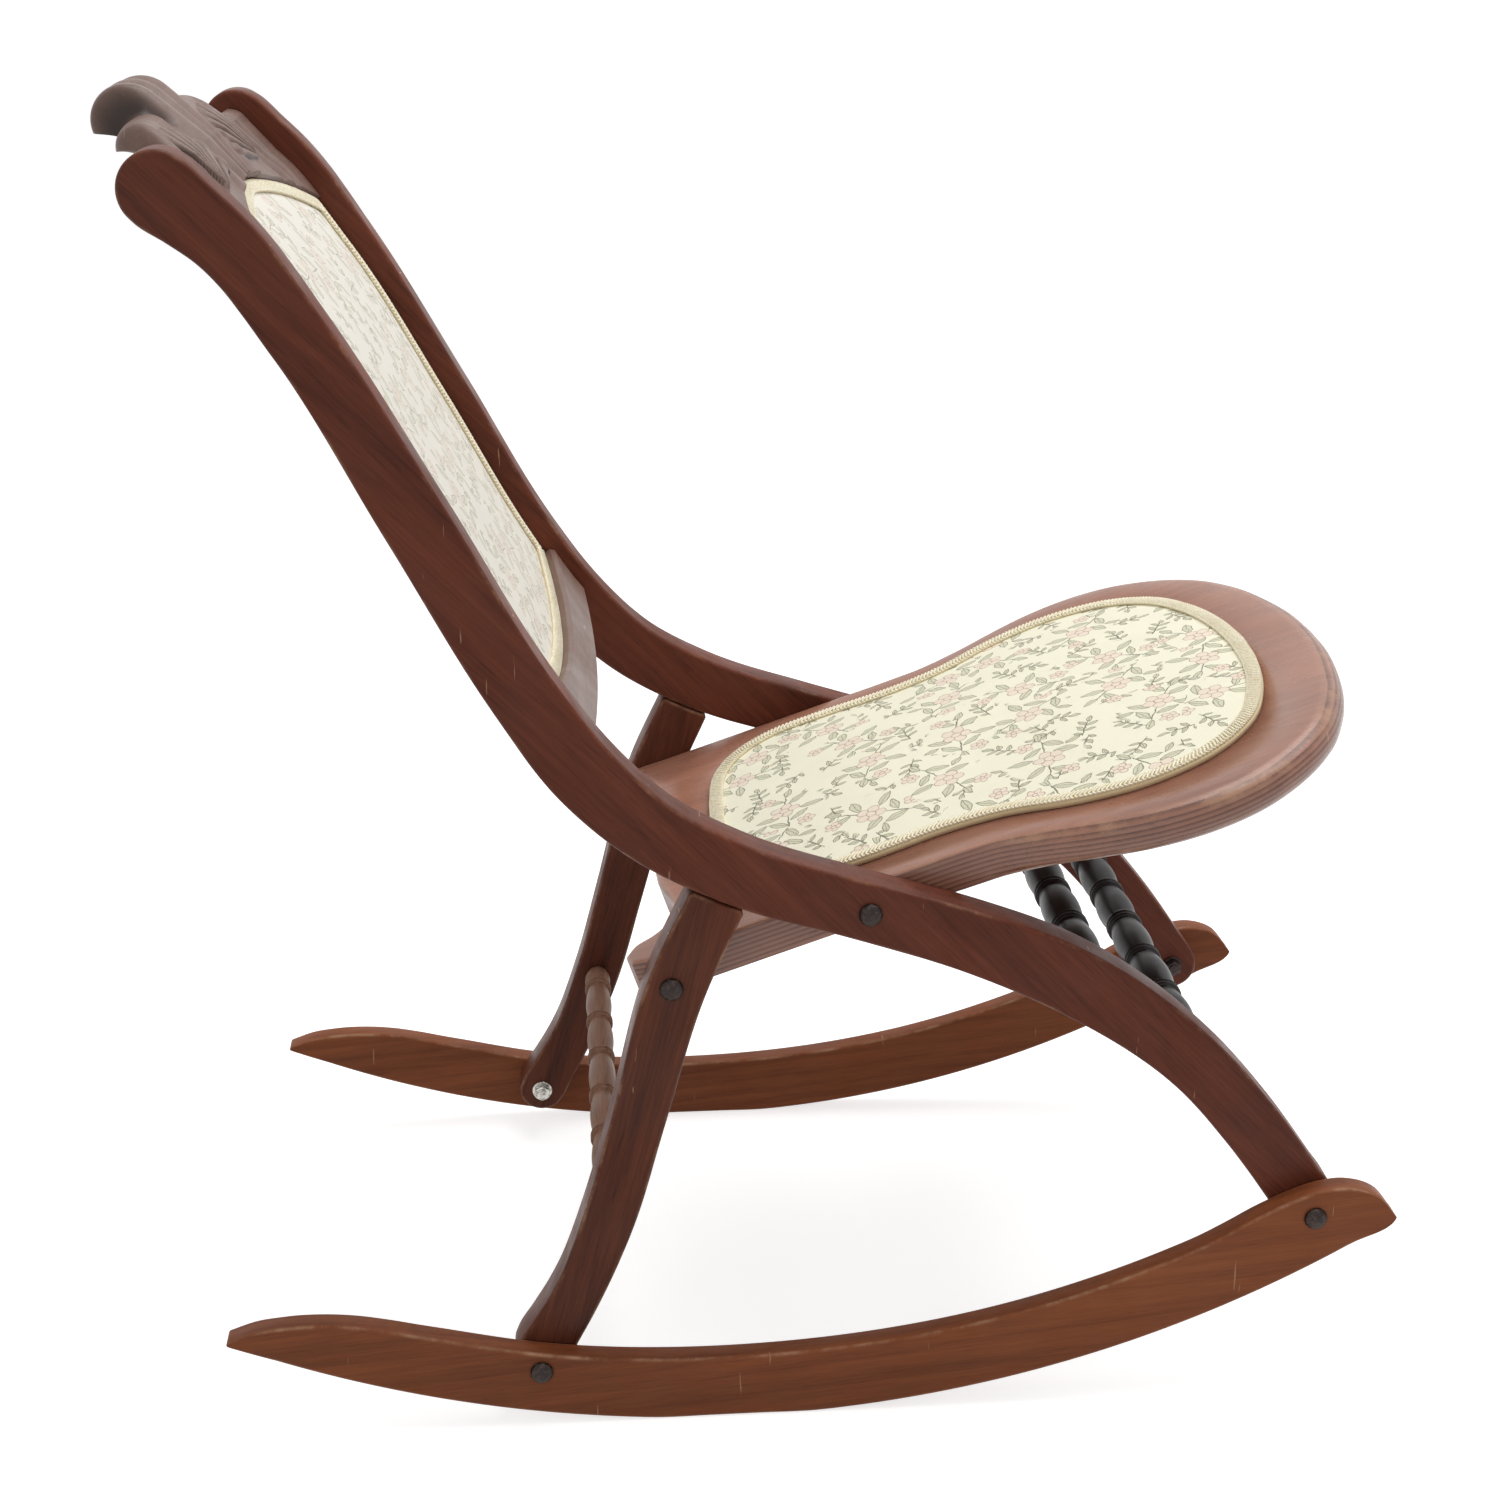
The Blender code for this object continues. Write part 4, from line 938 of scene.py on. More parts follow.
def lacquer_finish(name):
    """Black lacquer on a turned stretcher, rubbed brown here and there."""
    material, net, sockets = new_finish(name)
    spot = net.add("ShaderNodeTexCoord", out="Object")
    rubbed = net.ramp(net.noise(spot, 60.0, 4.0, 0.6), 0.55, 0.75)
    net.link(net.mix(rubbed, (*tint(32, 26, 26), 1.0), (*tint(58, 44, 38), 1.0)), sockets["Base Color"])
    rough = {"Vector": spot, "Low": 0.34, "High": 0.5}
    net.link(net.group(shared(handled_gloss), rough), sockets["Roughness"])
    sockets["Specular IOR Level"].default_value = 0.3
    bump_into(net, sockets, net.noise(spot, 240.0, 2.0), 0.08, 0.0004)
    return material


def tapestry_finish(name, ground, leaves, lines, petals, petal_lines):
    """Cream woven tapestry with sprigs and blossoms, in these colours."""
    cloth = settings("cloth")
    material, net, sockets = new_finish(name)
    plane = net.add("ShaderNodeUVMap", uv_map="cloth")
    wobble = net.add("ShaderNodeTexNoise", {"Vector": plane, "Scale": 190.0, "Detail": 2.0}, out="Color")
    sway = net.vector("SUBTRACT", wobble, (0.5, 0.5, 0.5))
    bent = net.vector("MULTIPLY_ADD", sway, (0.003, 0.003, 0.0), plane)
    inputs = {"Vector": bent, "Ground": (*ground, 1.0), "Leaf": (*leaves, 1.0), "Line": (*lines, 1.0),
              "Petal": (*petals, 1.0), "Petal line": (*petal_lines, 1.0), "Spray": cloth.spray,
              "Twig": cloth.twig}
    drawing = net.group(shared(sprig_ground), inputs)
    weave = net.group(shared(thread_weave), {"Vector": plane, "Pitch": cloth.weave})
    shade = net.ramp(weave, 0.0, 1.0, 0.93, 1.0)
    fade = net.ramp(net.noise(plane, 30.0, 3.0), 0.2, 0.8, 0.96, 1.0)
    dim = net.add("ShaderNodeCombineColor", dict.fromkeys((0, 1, 2), net.math("MULTIPLY", shade, fade)))
    net.link(net.mix(1.0, drawing, dim, "MULTIPLY"), sockets["Base Color"])
    net.link(net.ramp(weave, 0.0, 1.0, 0.95, 0.82), sockets["Roughness"])
    sockets["Sheen Weight"].default_value = 0.15
    sockets["Specular IOR Level"].default_value = 0.25
    bump_into(net, sockets, weave, 0.35, 0.0003)
    return material


def braid_finish(name):
    """Cream and straw-coloured silky thread, on a tape whose darker colour is painted shade between the
    scrolls.
    """
    cloth = settings("cloth")
    material, net, sockets = new_finish(name)
    spot = net.add("ShaderNodeTexCoord", out="Object")
    strands = net.noise(spot, 900.0, 2.0)
    spun_thread = net.mix(net.ramp(strands, 0.35, 0.7), (*cloth.thread, 1.0), (*cloth.thread_dark, 1.0))
    # Painted shade: the tape, marked in this layer, takes the darker tape colour
    between = net.add("ShaderNodeAttribute", out="Fac", attribute_name="groove")
    net.link(net.mix(between, spun_thread, (*cloth.tape, 1.0)), sockets["Base Color"])
    net.link(net.ramp(strands, 0.2, 0.8, 0.6, 0.85), sockets["Roughness"])
    sockets["Sheen Weight"].default_value = 0.2
    bump_into(net, sockets, strands, 0.4, 0.0003)
    return material


def iron_finish(name):
    """Blackened iron with a brown bloom."""
    metal = settings("metal")
    material, net, sockets = new_finish(name)
    spot = net.add("ShaderNodeTexCoord", out="Object")
    bloom = net.ramp(net.noise(spot, 420.0, 4.0, 0.6), 0.45, 0.7)
    net.link(net.mix(bloom, (*metal.iron, 1.0), (*metal.rust, 1.0)), sockets["Base Color"])
    net.link(net.ramp(bloom, 0.0, 1.0, 0.36, 0.62), sockets["Roughness"])
    net.link(net.ramp(bloom, 0.0, 1.0, 0.75, 0.35), sockets["Metallic"])
    bump_into(net, sockets, bloom, 0.2, 0.0003)
    return material


def steel_finish(name):
    """Dull plating on nuts and washers."""
    metal = settings("metal")
    material, net, sockets = new_finish(name)
    spot = net.add("ShaderNodeTexCoord", out="Object")
    dull = net.ramp(net.noise(spot, 300.0, 4.0, 0.6), 0.4, 0.7)
    net.link(net.mix(dull, (*metal.steel, 1.0), (*metal.steel_dull, 1.0)), sockets["Base Color"])
    net.link(net.ramp(dull, 0.0, 1.0, 0.25, 0.5), sockets["Roughness"])
    sockets["Metallic"].default_value = 1.0
    bump_into(net, sockets, dull, 0.1, 0.0002)
    return material


# Geometry nodes

def new_tree(name, inputs):
    """An empty geometry node tree: its wiring, what it is given and gives, and its inputs' identifiers."""
    tree = bpy.data.node_groups.new(name, "GeometryNodeTree")
    tree.interface.new_socket("Geometry", in_out="INPUT", socket_type="NodeSocketGeometry")
    names = {}
    for label, kind in inputs.items():
        socket = tree.interface.new_socket(label, in_out="INPUT", socket_type="NodeSocket" + kind)
        names[label] = socket.identifier
    tree.interface.new_socket("Geometry", in_out="OUTPUT", socket_type="NodeSocketGeometry")
    given, gives = tree.nodes.new("NodeGroupInput"), tree.nodes.new("NodeGroupOutput")
    return Wiring(tree), given.outputs, gives.inputs, names


def scroll_tree():
    """Threads that wind across a path: two scrolling ones and two cords along its edges."""
    inputs = {"Scrolls": "Int", "Width": "Float", "Height": "Float", "Thread": "Float",
              "Material": "Material"}
    net, given, gives, names = new_tree("scroll_braid", inputs)
    path = net.add("GeometryNodeMeshToCurve", {0: given["Geometry"]})
    count = net.math("MULTIPLY", given["Scrolls"], 12.0)
    path = net.add("GeometryNodeResampleCurve", {"Curve": path, "Count": count}, mode="COUNT")
    turn = net.math("MULTIPLY", net.add("GeometryNodeSplineParameter"), 2 * math.pi)
    turn = net.math("MULTIPLY", turn, given["Scrolls"])
    side = net.add("GeometryNodeInputNamedAttribute", {"Name": "across"}, data_type="FLOAT_VECTOR")
    rise = net.add("GeometryNodeInputNamedAttribute", {"Name": "rise"}, data_type="FLOAT_VECTOR")
    tangent = net.add("GeometryNodeInputTangent")
    round_thread = {"Resolution": 6, "Radius": given["Thread"]}
    joined = net.tree.nodes.new("GeometryNodeJoinGeometry")

    def scaled(direction, size, share):
        amount = net.math("MULTIPLY", size, share)
        return net.add("ShaderNodeVectorMath", {0: direction, "Scale": amount}, operation="SCALE")

    for kind, sign in (("scroll", 1.0), ("scroll", -1.0), ("cord", 1.0), ("cord", -1.0)):
        if kind == "scroll":
            swing = net.math("MULTIPLY", net.math("SINE", turn), 0.46 * sign)
            lift = net.math("MULTIPLY_ADD", net.math("COSINE", turn), 0.25 * sign, 0.55)
            slide = net.math("MULTIPLY", net.math("SINE", net.math("MULTIPLY", turn, 2.0)), 0.13)
        else:
            swing, lift, slide = 0.36 * sign, 0.35, 0.0
        offset = scaled(side, given["Width"], swing)
        up = scaled(rise, given["Height"], lift)
        drift = scaled(tangent, given["Width"], slide)
        shift = net.vector("ADD", net.vector("ADD", offset, up), drift)
        wound = net.add("GeometryNodeSetPosition", {"Geometry": path, "Offset": shift})
        ring = net.add("GeometryNodeCurvePrimitiveCircle", round_thread)
        tube = net.add("GeometryNodeCurveToMesh", {"Curve": wound, "Profile Curve": ring})
        net.link(tube, joined.inputs[0])
    smooth = net.add("GeometryNodeSetShadeSmooth", {0: joined.outputs[0]})
    solid = net.add("GeometryNodeRealizeInstances", {0: smooth})
    net.link(net.add("GeometryNodeSetMaterial", {"Geometry": solid, "Material": given["Material"]}), gives[0])
    return net.tree, names


def stud_tree():
    """One shape set at each point of a mesh, with its own z turned to the point's facing."""
    net, given, gives, names = new_tree("set_studs", {"Shape": "Object", "Material": "Material"})
    facing = net.add("GeometryNodeInputNamedAttribute", {"Name": "facing"}, data_type="FLOAT_VECTOR")
    turn = net.add("FunctionNodeAlignRotationToVector", {"Vector": facing}, axis="Z")
    shape = net.add("GeometryNodeObjectInfo", {"Object": given["Shape"]}, out="Geometry")
    points = {"Points": given["Geometry"], "Instance": shape, "Rotation": turn}
    studs = net.add("GeometryNodeInstanceOnPoints", points)
    solid = net.add("GeometryNodeRealizeInstances", {0: studs})
    net.link(net.add("GeometryNodeSetMaterial", {"Geometry": solid, "Material": given["Material"]}), gives[0])
    return net.tree, names


def grown_mesh(name, points, edges, attributes, tree, names, values):
    """The plain mesh that a node tree makes from points with vector attributes."""
    seed = bpy.data.meshes.new(name)
    seed.from_pydata([tuple(p) for p in points], edges, [])
    for label, vectors in attributes.items():
        layer = seed.attributes.new(label, "FLOAT_VECTOR", "POINT")
        layer.data.foreach_set("vector", np.array(vectors, float).ravel())
    carrier = bpy.data.objects.new(name + "_seed", seed)
    bpy.context.scene.collection.objects.link(carrier)
    grow = carrier.modifiers.new("grow", "NODES")
    grow.node_group = tree
    for label, value in values.items():
        grow[names[label]] = value
    bpy.context.view_layer.update()
    depsgraph = bpy.context.evaluated_depsgraph_get()
    mesh = bpy.data.meshes.new_from_object(carrier.evaluated_get(depsgraph), depsgraph=depsgraph)
    mesh.name = name
    carrier.modifiers.remove(grow)
    bpy.data.objects.remove(carrier)
    return mesh


# Operators

class CHAIR_OT_rockers(bpy.types.Operator):
    """Makes the two rockers"""

    bl_idname = "chair.rockers"
    bl_label = "Rockers"

    def execute(self, context):
        wood = settings("wood")
        finish = wood_finish(
            "rocker_walnut", (wood.rocker_light, wood.rocker_dark), grain=(1.0, 0.0, 0.10),
            through=(0.0, 1.0, 0.0), pith=(0.0, 0.4, 0.3), ring=0.009, contrast=0.16, streak=0.8, wear=1.1)
        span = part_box("rocker_left")[0][1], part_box("rocker_left")[1][1]
        for label, side in SIDES:
            name, node = f"rocker_board_{label}", f"rocker_{label}"
            side_board(name, node, side, span, ROCKER_TAPER, finish, "rockers")
        return {"FINISHED"}


class CHAIR_OT_stiles(bpy.types.Operator):
    """Makes the two curved stiles and the two rear legs"""

    bl_idname = "chair.stiles"
    bl_label = "Stiles and legs"

    def execute(self, context):
        wood = settings("wood")
        stile = wood_finish(
            "stile_walnut", (wood.side_light, wood.side_dark), grain=(-0.69, 0.0, 0.72),
            through=(0.0, 1.0, 0.0), pith=(0.1, 0.5, 0.4), ring=0.010, contrast=0.12, streak=0.9, wear=0.86)
        leg = wood_finish(
            "leg_walnut", (wood.leg_light, wood.leg_dark), grain=(0.26, 0.0, 0.96), through=(0.0, 1.0, 0.0),
            pith=(-0.1, 0.5, 0.2), ring=0.008, contrast=0.16, streak=1.2, wear=0.95)
        span = STILE_IN, STILE_OUT
        for label, side in SIDES:
            side_board(f"stile_board_{label}", f"stile_{label}", side, span, 0.0, stile, "back_frame")
            side_board(f"leg_board_{label}", f"rear_leg_{label}", side, span, 0.0, leg, "rear_legs")
        return {"FINISHED"}


def stretcher_rows(end, radius, swell):
    """(y, radius) rows of a turned stretcher: swells between groups of beads, with a tenon at each end."""
    waist, dip = radius - swell / 2, radius - swell / 2 - BEAD_SINK
    tenon, outer = radius * TENON_SHARE, end
    rows = [(end + TENON_LONG, tenon), (end + 0.0005, tenon), (end, waist * 0.92)]
    for share in BEAD_SHARES:
        inner = end * share + BEADS * BEAD_LONG / 2
        for t in np.linspace(0.0, 1.0, 16):
            rows.append((outer + (inner - outer) * t, waist + swell * math.sin(math.pi * t)))
        for k in range(BEADS):
            for t in np.linspace(0.0, 1.0, 10)[1:]:
                bead = (BEAD_HIGH + BEAD_SINK) * math.sin(math.pi * t) ** 0.7
                rows.append((inner - BEAD_LONG * (k + t), dip + bead))
        outer = inner - BEADS * BEAD_LONG
    for t in np.linspace(0.0, 1.0, 16)[1:]:
        rows.append((outer * (1 - t), waist + swell * math.sin(math.pi * t / 2)))
    return rows + [(-y, r) for y, r in rows[-2::-1]]


class CHAIR_OT_stretchers(bpy.types.Operator):
    """Makes the two black stretchers and the brown one"""

    bl_idname = "chair.stretchers"
    bl_label = "Stretchers"

    def execute(self, context):
        wood = settings("wood")
        black = lacquer_finish("black_lacquer")
        brown = wood_finish(
            "brown_stretcher", (wood.spindle_light, wood.spindle_dark), grain=(0.0, 1.0, 0.0),
            through=(1.0, 0.0, 0.0), pith=(-0.08, 0.0, 0.1), ring=0.004, contrast=0.3, streak=1.0, wear=0.9)
        for name, finish, body, slot, radius, swell in (
            ("front_spindle_lower", black, "back_frame", "black_spindle", 0.0115, 0.0025),
            ("front_spindle_upper", black, "back_frame", "black_spindle", 0.0115, 0.0025),
            ("rear_spindle", brown, "rear_legs", "brown_spindle", 0.0085, 0.0020),
        ):
            bm, middle = bmesh.new(), box_middle(name)
            turned(bm, stretcher_rows(STILE_IN, radius, swell), LATHE_SIDES,
                   lambda x, z, y: (middle.x + x, y, middle.z + z))
            finished("turned_" + name, bm, finish, body, [name])
        return {"FINISHED"}


class CHAIR_OT_seat_frame(bpy.types.Operator):
    """Makes the seat frame with its round front edge"""

    bl_idname = "chair.seat_frame"
    bl_label = "Seat frame"

    def execute(self, context):
        wood = settings("wood")
        low_face, top_face = (flat_loops("seat_frame", SEAT_UP * way) for way in (-1, 1))
        outer, low = on_seat(low_face[0])
        outer, low, top = anticlockwise(outer), low.mean(), on_seat(top_face[0])[1].mean()
        radius = self.edge_radius(outer, wood)
        loop = smoothed(inset(outer, -radius), wood.curve_step)
        bm = bmesh.new()
        rings = board_rings(bm, loop, low, top, self.edge_radius(loop, wood), seat_place)
        hole = anticlockwise(on_seat(low_face[1])[0])
        walls = [[bm.verts.new(seat_place(p, level)) for p in hole] for level in (low, top)]
        fill_between(bm, rings[0], walls[0])
        fill_between(bm, rings[-1], walls[1])
        join_rings(bm, walls, closed=True)
        # The pith lies far below, a whole number of rings under the top, so that the top shows one even ring
        pith = SEAT_PIVOT + SEAT_UP * (top - SEAT_RINGS * SEAT_RING)
        finish = wood_finish(
            "seat_walnut", (wood.seat_light, wood.seat_dark), grain=SEAT_AHEAD, through=SEAT_UP, pith=pith,
            ring=SEAT_RING, contrast=0.65, streak=0.45, wear=1.0, gloss=(0.22, 0.34), shine=0.55, warp=0.7)
        finished("seat_rim_board", bm, finish, "seat", ["seat_frame"])
        board = wood_finish(
            "plain_board", (wood.board_light, wood.board_dark), grain=(1.0, 0.0, 0.3), through=SEAT_UP,
            pith=(0.0, 0.0, 0.1), ring=0.007, contrast=0.3, streak=1.0, wear=0.5, gloss=(0.5, 0.75))
        set_finish(frame["nodes"]["seat_panel"].data, board)
        return {"FINISHED"}

    @staticmethod
    def edge_radius(loop, wood):
        ease = np.clip((loop[:, 0] - wood.nose_start) / wood.nose_ease, 0.0, 1.0)
        return wood.rail_round + (wood.nose_round - wood.rail_round) * ease * ease * (3 - 2 * ease)


def cloth_map(obj, plane):
    """Gives each vertex its place on the flat cloth, in metres."""
    layer = obj.data.uv_layers.new(name="cloth")
    corners = np.array([corner.vertex_index for corner in obj.data.loops])
    layer.data.foreach_set("uv", np.array(plane, np.float32)[corners].ravel())


class CHAIR_OT_seat_pad(bpy.types.Operator):
    """Makes the seat's crowned upholstery"""

    bl_idname = "chair.seat_pad"
    bl_label = "Seat upholstery"

    def execute(self, context):
        cloth = settings("cloth")
        loop, floor = seat_pad_edge(PAD_STEP)
        middle = (loop.max(axis=0) + loop.min(axis=0)) / 2
        bm = bmesh.new()
        flats = [loop, loop]
        heights = [np.full(len(loop), floor), np.full(len(loop), floor + cloth.seat_rim)]
        under = inset(loop, cloth.gimp_w)
        for share in np.linspace(1.0, 0.04, SEAT_PAD_RINGS):
            flats.append(middle + (under - middle) * share)
            crown = SHAPED * cloth.seat_crown * (1 - share**2.6)
            heights.append(np.full(len(loop), floor + cloth.seat_rim + crown))
        capped(bm, [[bm.verts.new(seat_place(p, h)) for p, h in zip(flat, high)]
                    for flat, high in zip(flats, heights)])
        finish = tapestry_finish("seat_tapestry", cloth.ground, cloth.leaf, cloth.line,
                                 cloth.petal, cloth.petal_line)
        pad = finished("seat_cushion", bm, finish, "seat", ["seat_pad"])
        held = list(range(3 * len(loop)))
        pad.data.vertices.foreach_set("co", swollen(pad, held, SWELLED * cloth.seat_crown).ravel())
        cloth_map(pad, np.vstack(flats))
        return {"FINISHED"}


class CHAIR_OT_back(bpy.types.Operator):
    """Makes the crest, the back board and the lower rail's finish"""

    bl_idname = "chair.back"
    bl_label = "Back rails and board"

    def execute(self, context):
        wood, cloth, crest = settings("wood"), settings("cloth"), settings("crest")
        # The crest's greyed tones carry painted sheen over the walnut; the back board and the lower rail
        # share them
        carved = wood_finish(
            "crest_walnut", (wood.crest_light, wood.crest_dark), grain=(0.0, 1.0, 0.0),
            through=(0.6, 0.0, 0.8), pith=(-0.45, 0.0, 0.74), ring=0.012, contrast=0.08, streak=0.5, wear=0.9,
            gloss=(0.30, 0.48), shine=0.3)
        bm = bmesh.new()
        # Each point of the crest carries a share of painted shade for its hollows
        groove, rings = bm.verts.layers.float.new("groove"), []
        for y in np.linspace(-BACK_HALF, BACK_HALF, CREST_SECTIONS):
            section, shade_paint = self.crest_section(y, crest)
            rings.append([bm.verts.new(p) for p in section])
            for vert, share in zip(rings[-1], shade_paint):
                vert[groove] = share
        capped(bm, rings)
        finished("carved_crest", bm, carved, "back_frame", ["crest_rail"])
        ys = np.linspace(-BACK_HALF, BACK_HALF, BACK_BOARD_GRID[0])
        spans = [np.linspace(*pad_ends(y), BACK_BOARD_GRID[1]) for y in ys]
        front = back_grid(ys, spans, [back_face(s) for s in spans])
        rear = back_grid(ys, spans, [back_face(s) - cloth.panel_t for s in spans])
        board = wood_finish(
            "back_board", (wood.crest_light, wood.crest_dark), grain=(0.0, 1.0, 0.0), through=(0.8, 0.0, 0.6),
            pith=(-0.3, 0.0, 0.5), ring=0.009, contrast=0.15, streak=0.8, wear=0.4, gloss=(0.45, 0.7))
        bm = bmesh.new()
        closed_slab(bm, front, rear)
        finished("back_board", bm, board, "back_frame", ["back_panel"])
        set_finish(frame["nodes"]["back_lower_rail"].data, carved)
        return {"FINISHED"}

    def crest_section(self, y, crest):
        """The crest at one place across, up past the stiles' ends and rolling back, and how much painted
        shade each of its points gets.
        """
        middle = math.exp(-((y / crest.hood) ** HOOD_POWER))
        shoulder = math.exp(-((y / crest.shoulder) ** SHOULDER_POWER))
        rise = crest.shoulder_rise * shoulder + (crest.rise - crest.shoulder_rise) * middle
        lengths = np.linspace(crest_low(y), -rise, CREST_STEPS)
        points, ahead = back_line(np.maximum(lengths, 0.0))
        out, up = ahead[-1], np.array([-ahead[-1][1], ahead[-1][0]])
        points = points + up * np.maximum(-lengths, 0.0)[:, None]
        radius = crest.curl + (crest.hood_curl - crest.curl) * middle
        last_turn = crest.end_turn + (crest.turn - crest.end_turn) * shoulder
        turns = np.linspace(0.0, last_turn, CURL_STEPS)[1:, None]
        radial = out * np.cos(turns) + up * np.sin(turns)
        points = np.vstack([points, points[-1] - out * radius + radial * radius])
        ahead = np.vstack([ahead, radial])
        above = np.concatenate([-lengths, rise + radius * turns[:, 0]])
        s = np.linspace(0.0, 1.0, len(points))
        leaf, leaf_shade_paint = self.leaf_relief(abs(y), above, crest)
        hood, hood_shade_paint = self.hood_relief(y, s, middle, crest)
        end = 4 * middle * (1 - middle) * np.clip((above - HOLLOW_FROM) / HOLLOW_EASE, 0.0, 1.0)
        relief = hood + leaf * (1 - end) - crest.hollow * end
        # Painted shade in the flutes, in the leaf's veins and in the hollow at the hood's ends
        shade_paint = np.maximum(np.maximum(leaf_shade_paint, hood_shade_paint), 0.9 * end)
        deep = crest.deep * np.clip(-above / DEEP_EASE, 0.0, 1.0)
        front = points + ahead * (crest.front * (1 - crest.thin * middle * s**4) - deep + relief)[:, None]
        inner = np.minimum(crest.rear * (1 - middle * s**2), np.where(above > rise, 0.7 * radius, crest.rear))
        rear = (points - ahead * inner[:, None])[::-4]
        xz = np.vstack([front, rear])
        return np.stack([xz[:, 0], np.full(len(xz), y), xz[:, 1]], axis=1), [*shade_paint, *([0.0] * len(rear))]

    @staticmethod
    def hood_relief(y, s, middle, crest):
        """Height of the fluted shell over the hood's face, and the painted shade between its flutes."""
        fan = np.arctan2(abs(y), crest.hood * (0.35 + 0.9 * s))
        flute = np.abs(np.cos(crest.flutes * fan))
        shade_paint = np.clip(0.8 - flute / 0.35, 0.0, 1.0) * np.clip(2.0 * s - 0.6, 0.0, 1.0)
        return (crest.swell * s + crest.relief * flute) * middle, shade_paint * middle

    @staticmethod
    def leaf_relief(across, above, crest):
        """Height of a fanned leaf beside the hood and of folds next to it, and the painted shade in its
        grooves.
        """
        inward, high = crest.leaf_at - across, above + crest.leaf_low
        reach = np.hypot(inward, high)
        lobe = (np.arctan2(inward, high) + crest.leaf_from) / crest.lobe_turn
        share = lobe % 1.0
        tip = crest.leaf_long * (0.86 + 0.14 * np.sin(math.pi * share))
        body = np.sqrt(np.clip(1 - (reach / tip) ** 4, 0.0, 1.0)) * np.clip(reach / LEAF_EASE, 0.0, 1.0)
        body = body * ((lobe > 0) & (lobe < crest.lobes))
        vein = np.clip(1 - np.minimum(share, 1 - share) / 0.30, 0.0, 1.0) * body
        folds = np.cos(2 * math.pi * (across + 0.5 * above) / crest.fold_step)
        patch = math.exp(-(((across - FOLDS_AT) / FOLDS_HALF) ** 4))
        patch = patch * np.clip((crest.low + above) / FOLDS_EASE, 0.0, 1.0)
        relief = crest.leaf_rise * body - crest.vein_depth * vein + crest.fold * folds * patch * (1 - body)
        return relief, np.clip(vein * 3.0 - 0.5, 0.0, 0.97)


class CHAIR_OT_back_pad(bpy.types.Operator):
    """Makes the back's crowned upholstery"""

    bl_idname = "chair.back_pad"
    bl_label = "Back upholstery"

    def execute(self, context):
        cloth = settings("cloth")
        ys = np.linspace(-PAD_HALF, PAD_HALF, BACK_PAD_GRID[0])
        spans = [np.linspace(*pad_ends(y), BACK_PAD_GRID[1]) for y in ys]
        floors, offsets = [back_face(s) + 2 * cloth.gap for s in spans], []
        for y, s, floor in zip(ys, spans, floors):
            depth = np.minimum(np.minimum(s - s[0], s[-1] - s), PAD_HALF - abs(y))
            roll = 1 - (1 - np.clip((depth - cloth.gimp_w) / BACK_ROLL, 0.0, 1.0)) ** 2.4
            offsets.append(floor + cloth.back_rim + SHAPED * cloth.back_crown * roll)
        bm = bmesh.new()
        closed_slab(bm, back_grid(ys, spans, offsets), back_grid(ys, spans, floors))
        # The back's cloth colours are greyed as painted shade
        finish = tapestry_finish("back_tapestry", cloth.back_ground, cloth.back_leaf, cloth.back_line,
                                 cloth.back_petal, cloth.back_petal_line)
        pad = finished("back_cushion", bm, finish, "back_frame", ["back_pad"])
        plane = np.vstack([np.stack([np.full(len(s), y), s], axis=1) for y, s in zip(ys, spans)])
        free = (np.concatenate(offsets) > np.concatenate(floors) + cloth.back_rim + 1e-5).tolist()
        held = [k for k in range(2 * len(free)) if k >= len(free) or not free[k]]
        pad.data.vertices.foreach_set("co", swollen(pad, held, SWELLED * cloth.back_crown).ravel())
        cloth_map(pad, np.vstack([plane, plane]))
        return {"FINISHED"}


def braid(name, scroll, path, across, rise, drop, finish, body, node):
    """A scroll braid along a closed path, from what points across and away at each point.

    It lies on a flat tape, whose outer edge hangs down by a drop to hide the wall of the pad.
    """
    cloth = settings("cloth")
    scrolls = round(lengths_of(np.vstack([path, path[:1]]))[-1] / cloth.pitch)
    edges = [(k, (k + 1) % len(path)) for k in range(len(path))]
    values = {"Scrolls": scrolls, "Width": cloth.gimp_w, "Height": cloth.gimp_h, "Thread": cloth.thread_r,
              "Material": finish}
    mesh = grown_mesh(name, path, edges, {"across": across, "rise": rise}, *scroll, values)
    bm = bmesh.new()
    bm.from_mesh(mesh)
    half, top, skirt = 0.42 * cloth.gimp_w, 0.35 * cloth.gimp_h, cloth.gimp_w / 2 + 0.0002
    corners = ((half, 0.0), (half, top * 0.6), (half * 0.5, top), (-half * 0.5, top), (-half, top * 0.6),
               (-skirt, 0.0), (-skirt, -drop))
    # Every vertex of the tape is marked in this layer, for the painted shade between the scrolls
    tape, shaded = [], bm.verts.layers.float.new("groove")
    for point, side, up in zip(path, across, rise):
        tape.append([bm.verts.new(point + side * w + up * h) for w, h in corners])
        for vert in tape[-1]:
            vert[shaded] = 1.0
    join_rings(bm, tape + tape[:1], closed=True)
    return finished(name, bm, finish, body, [node])


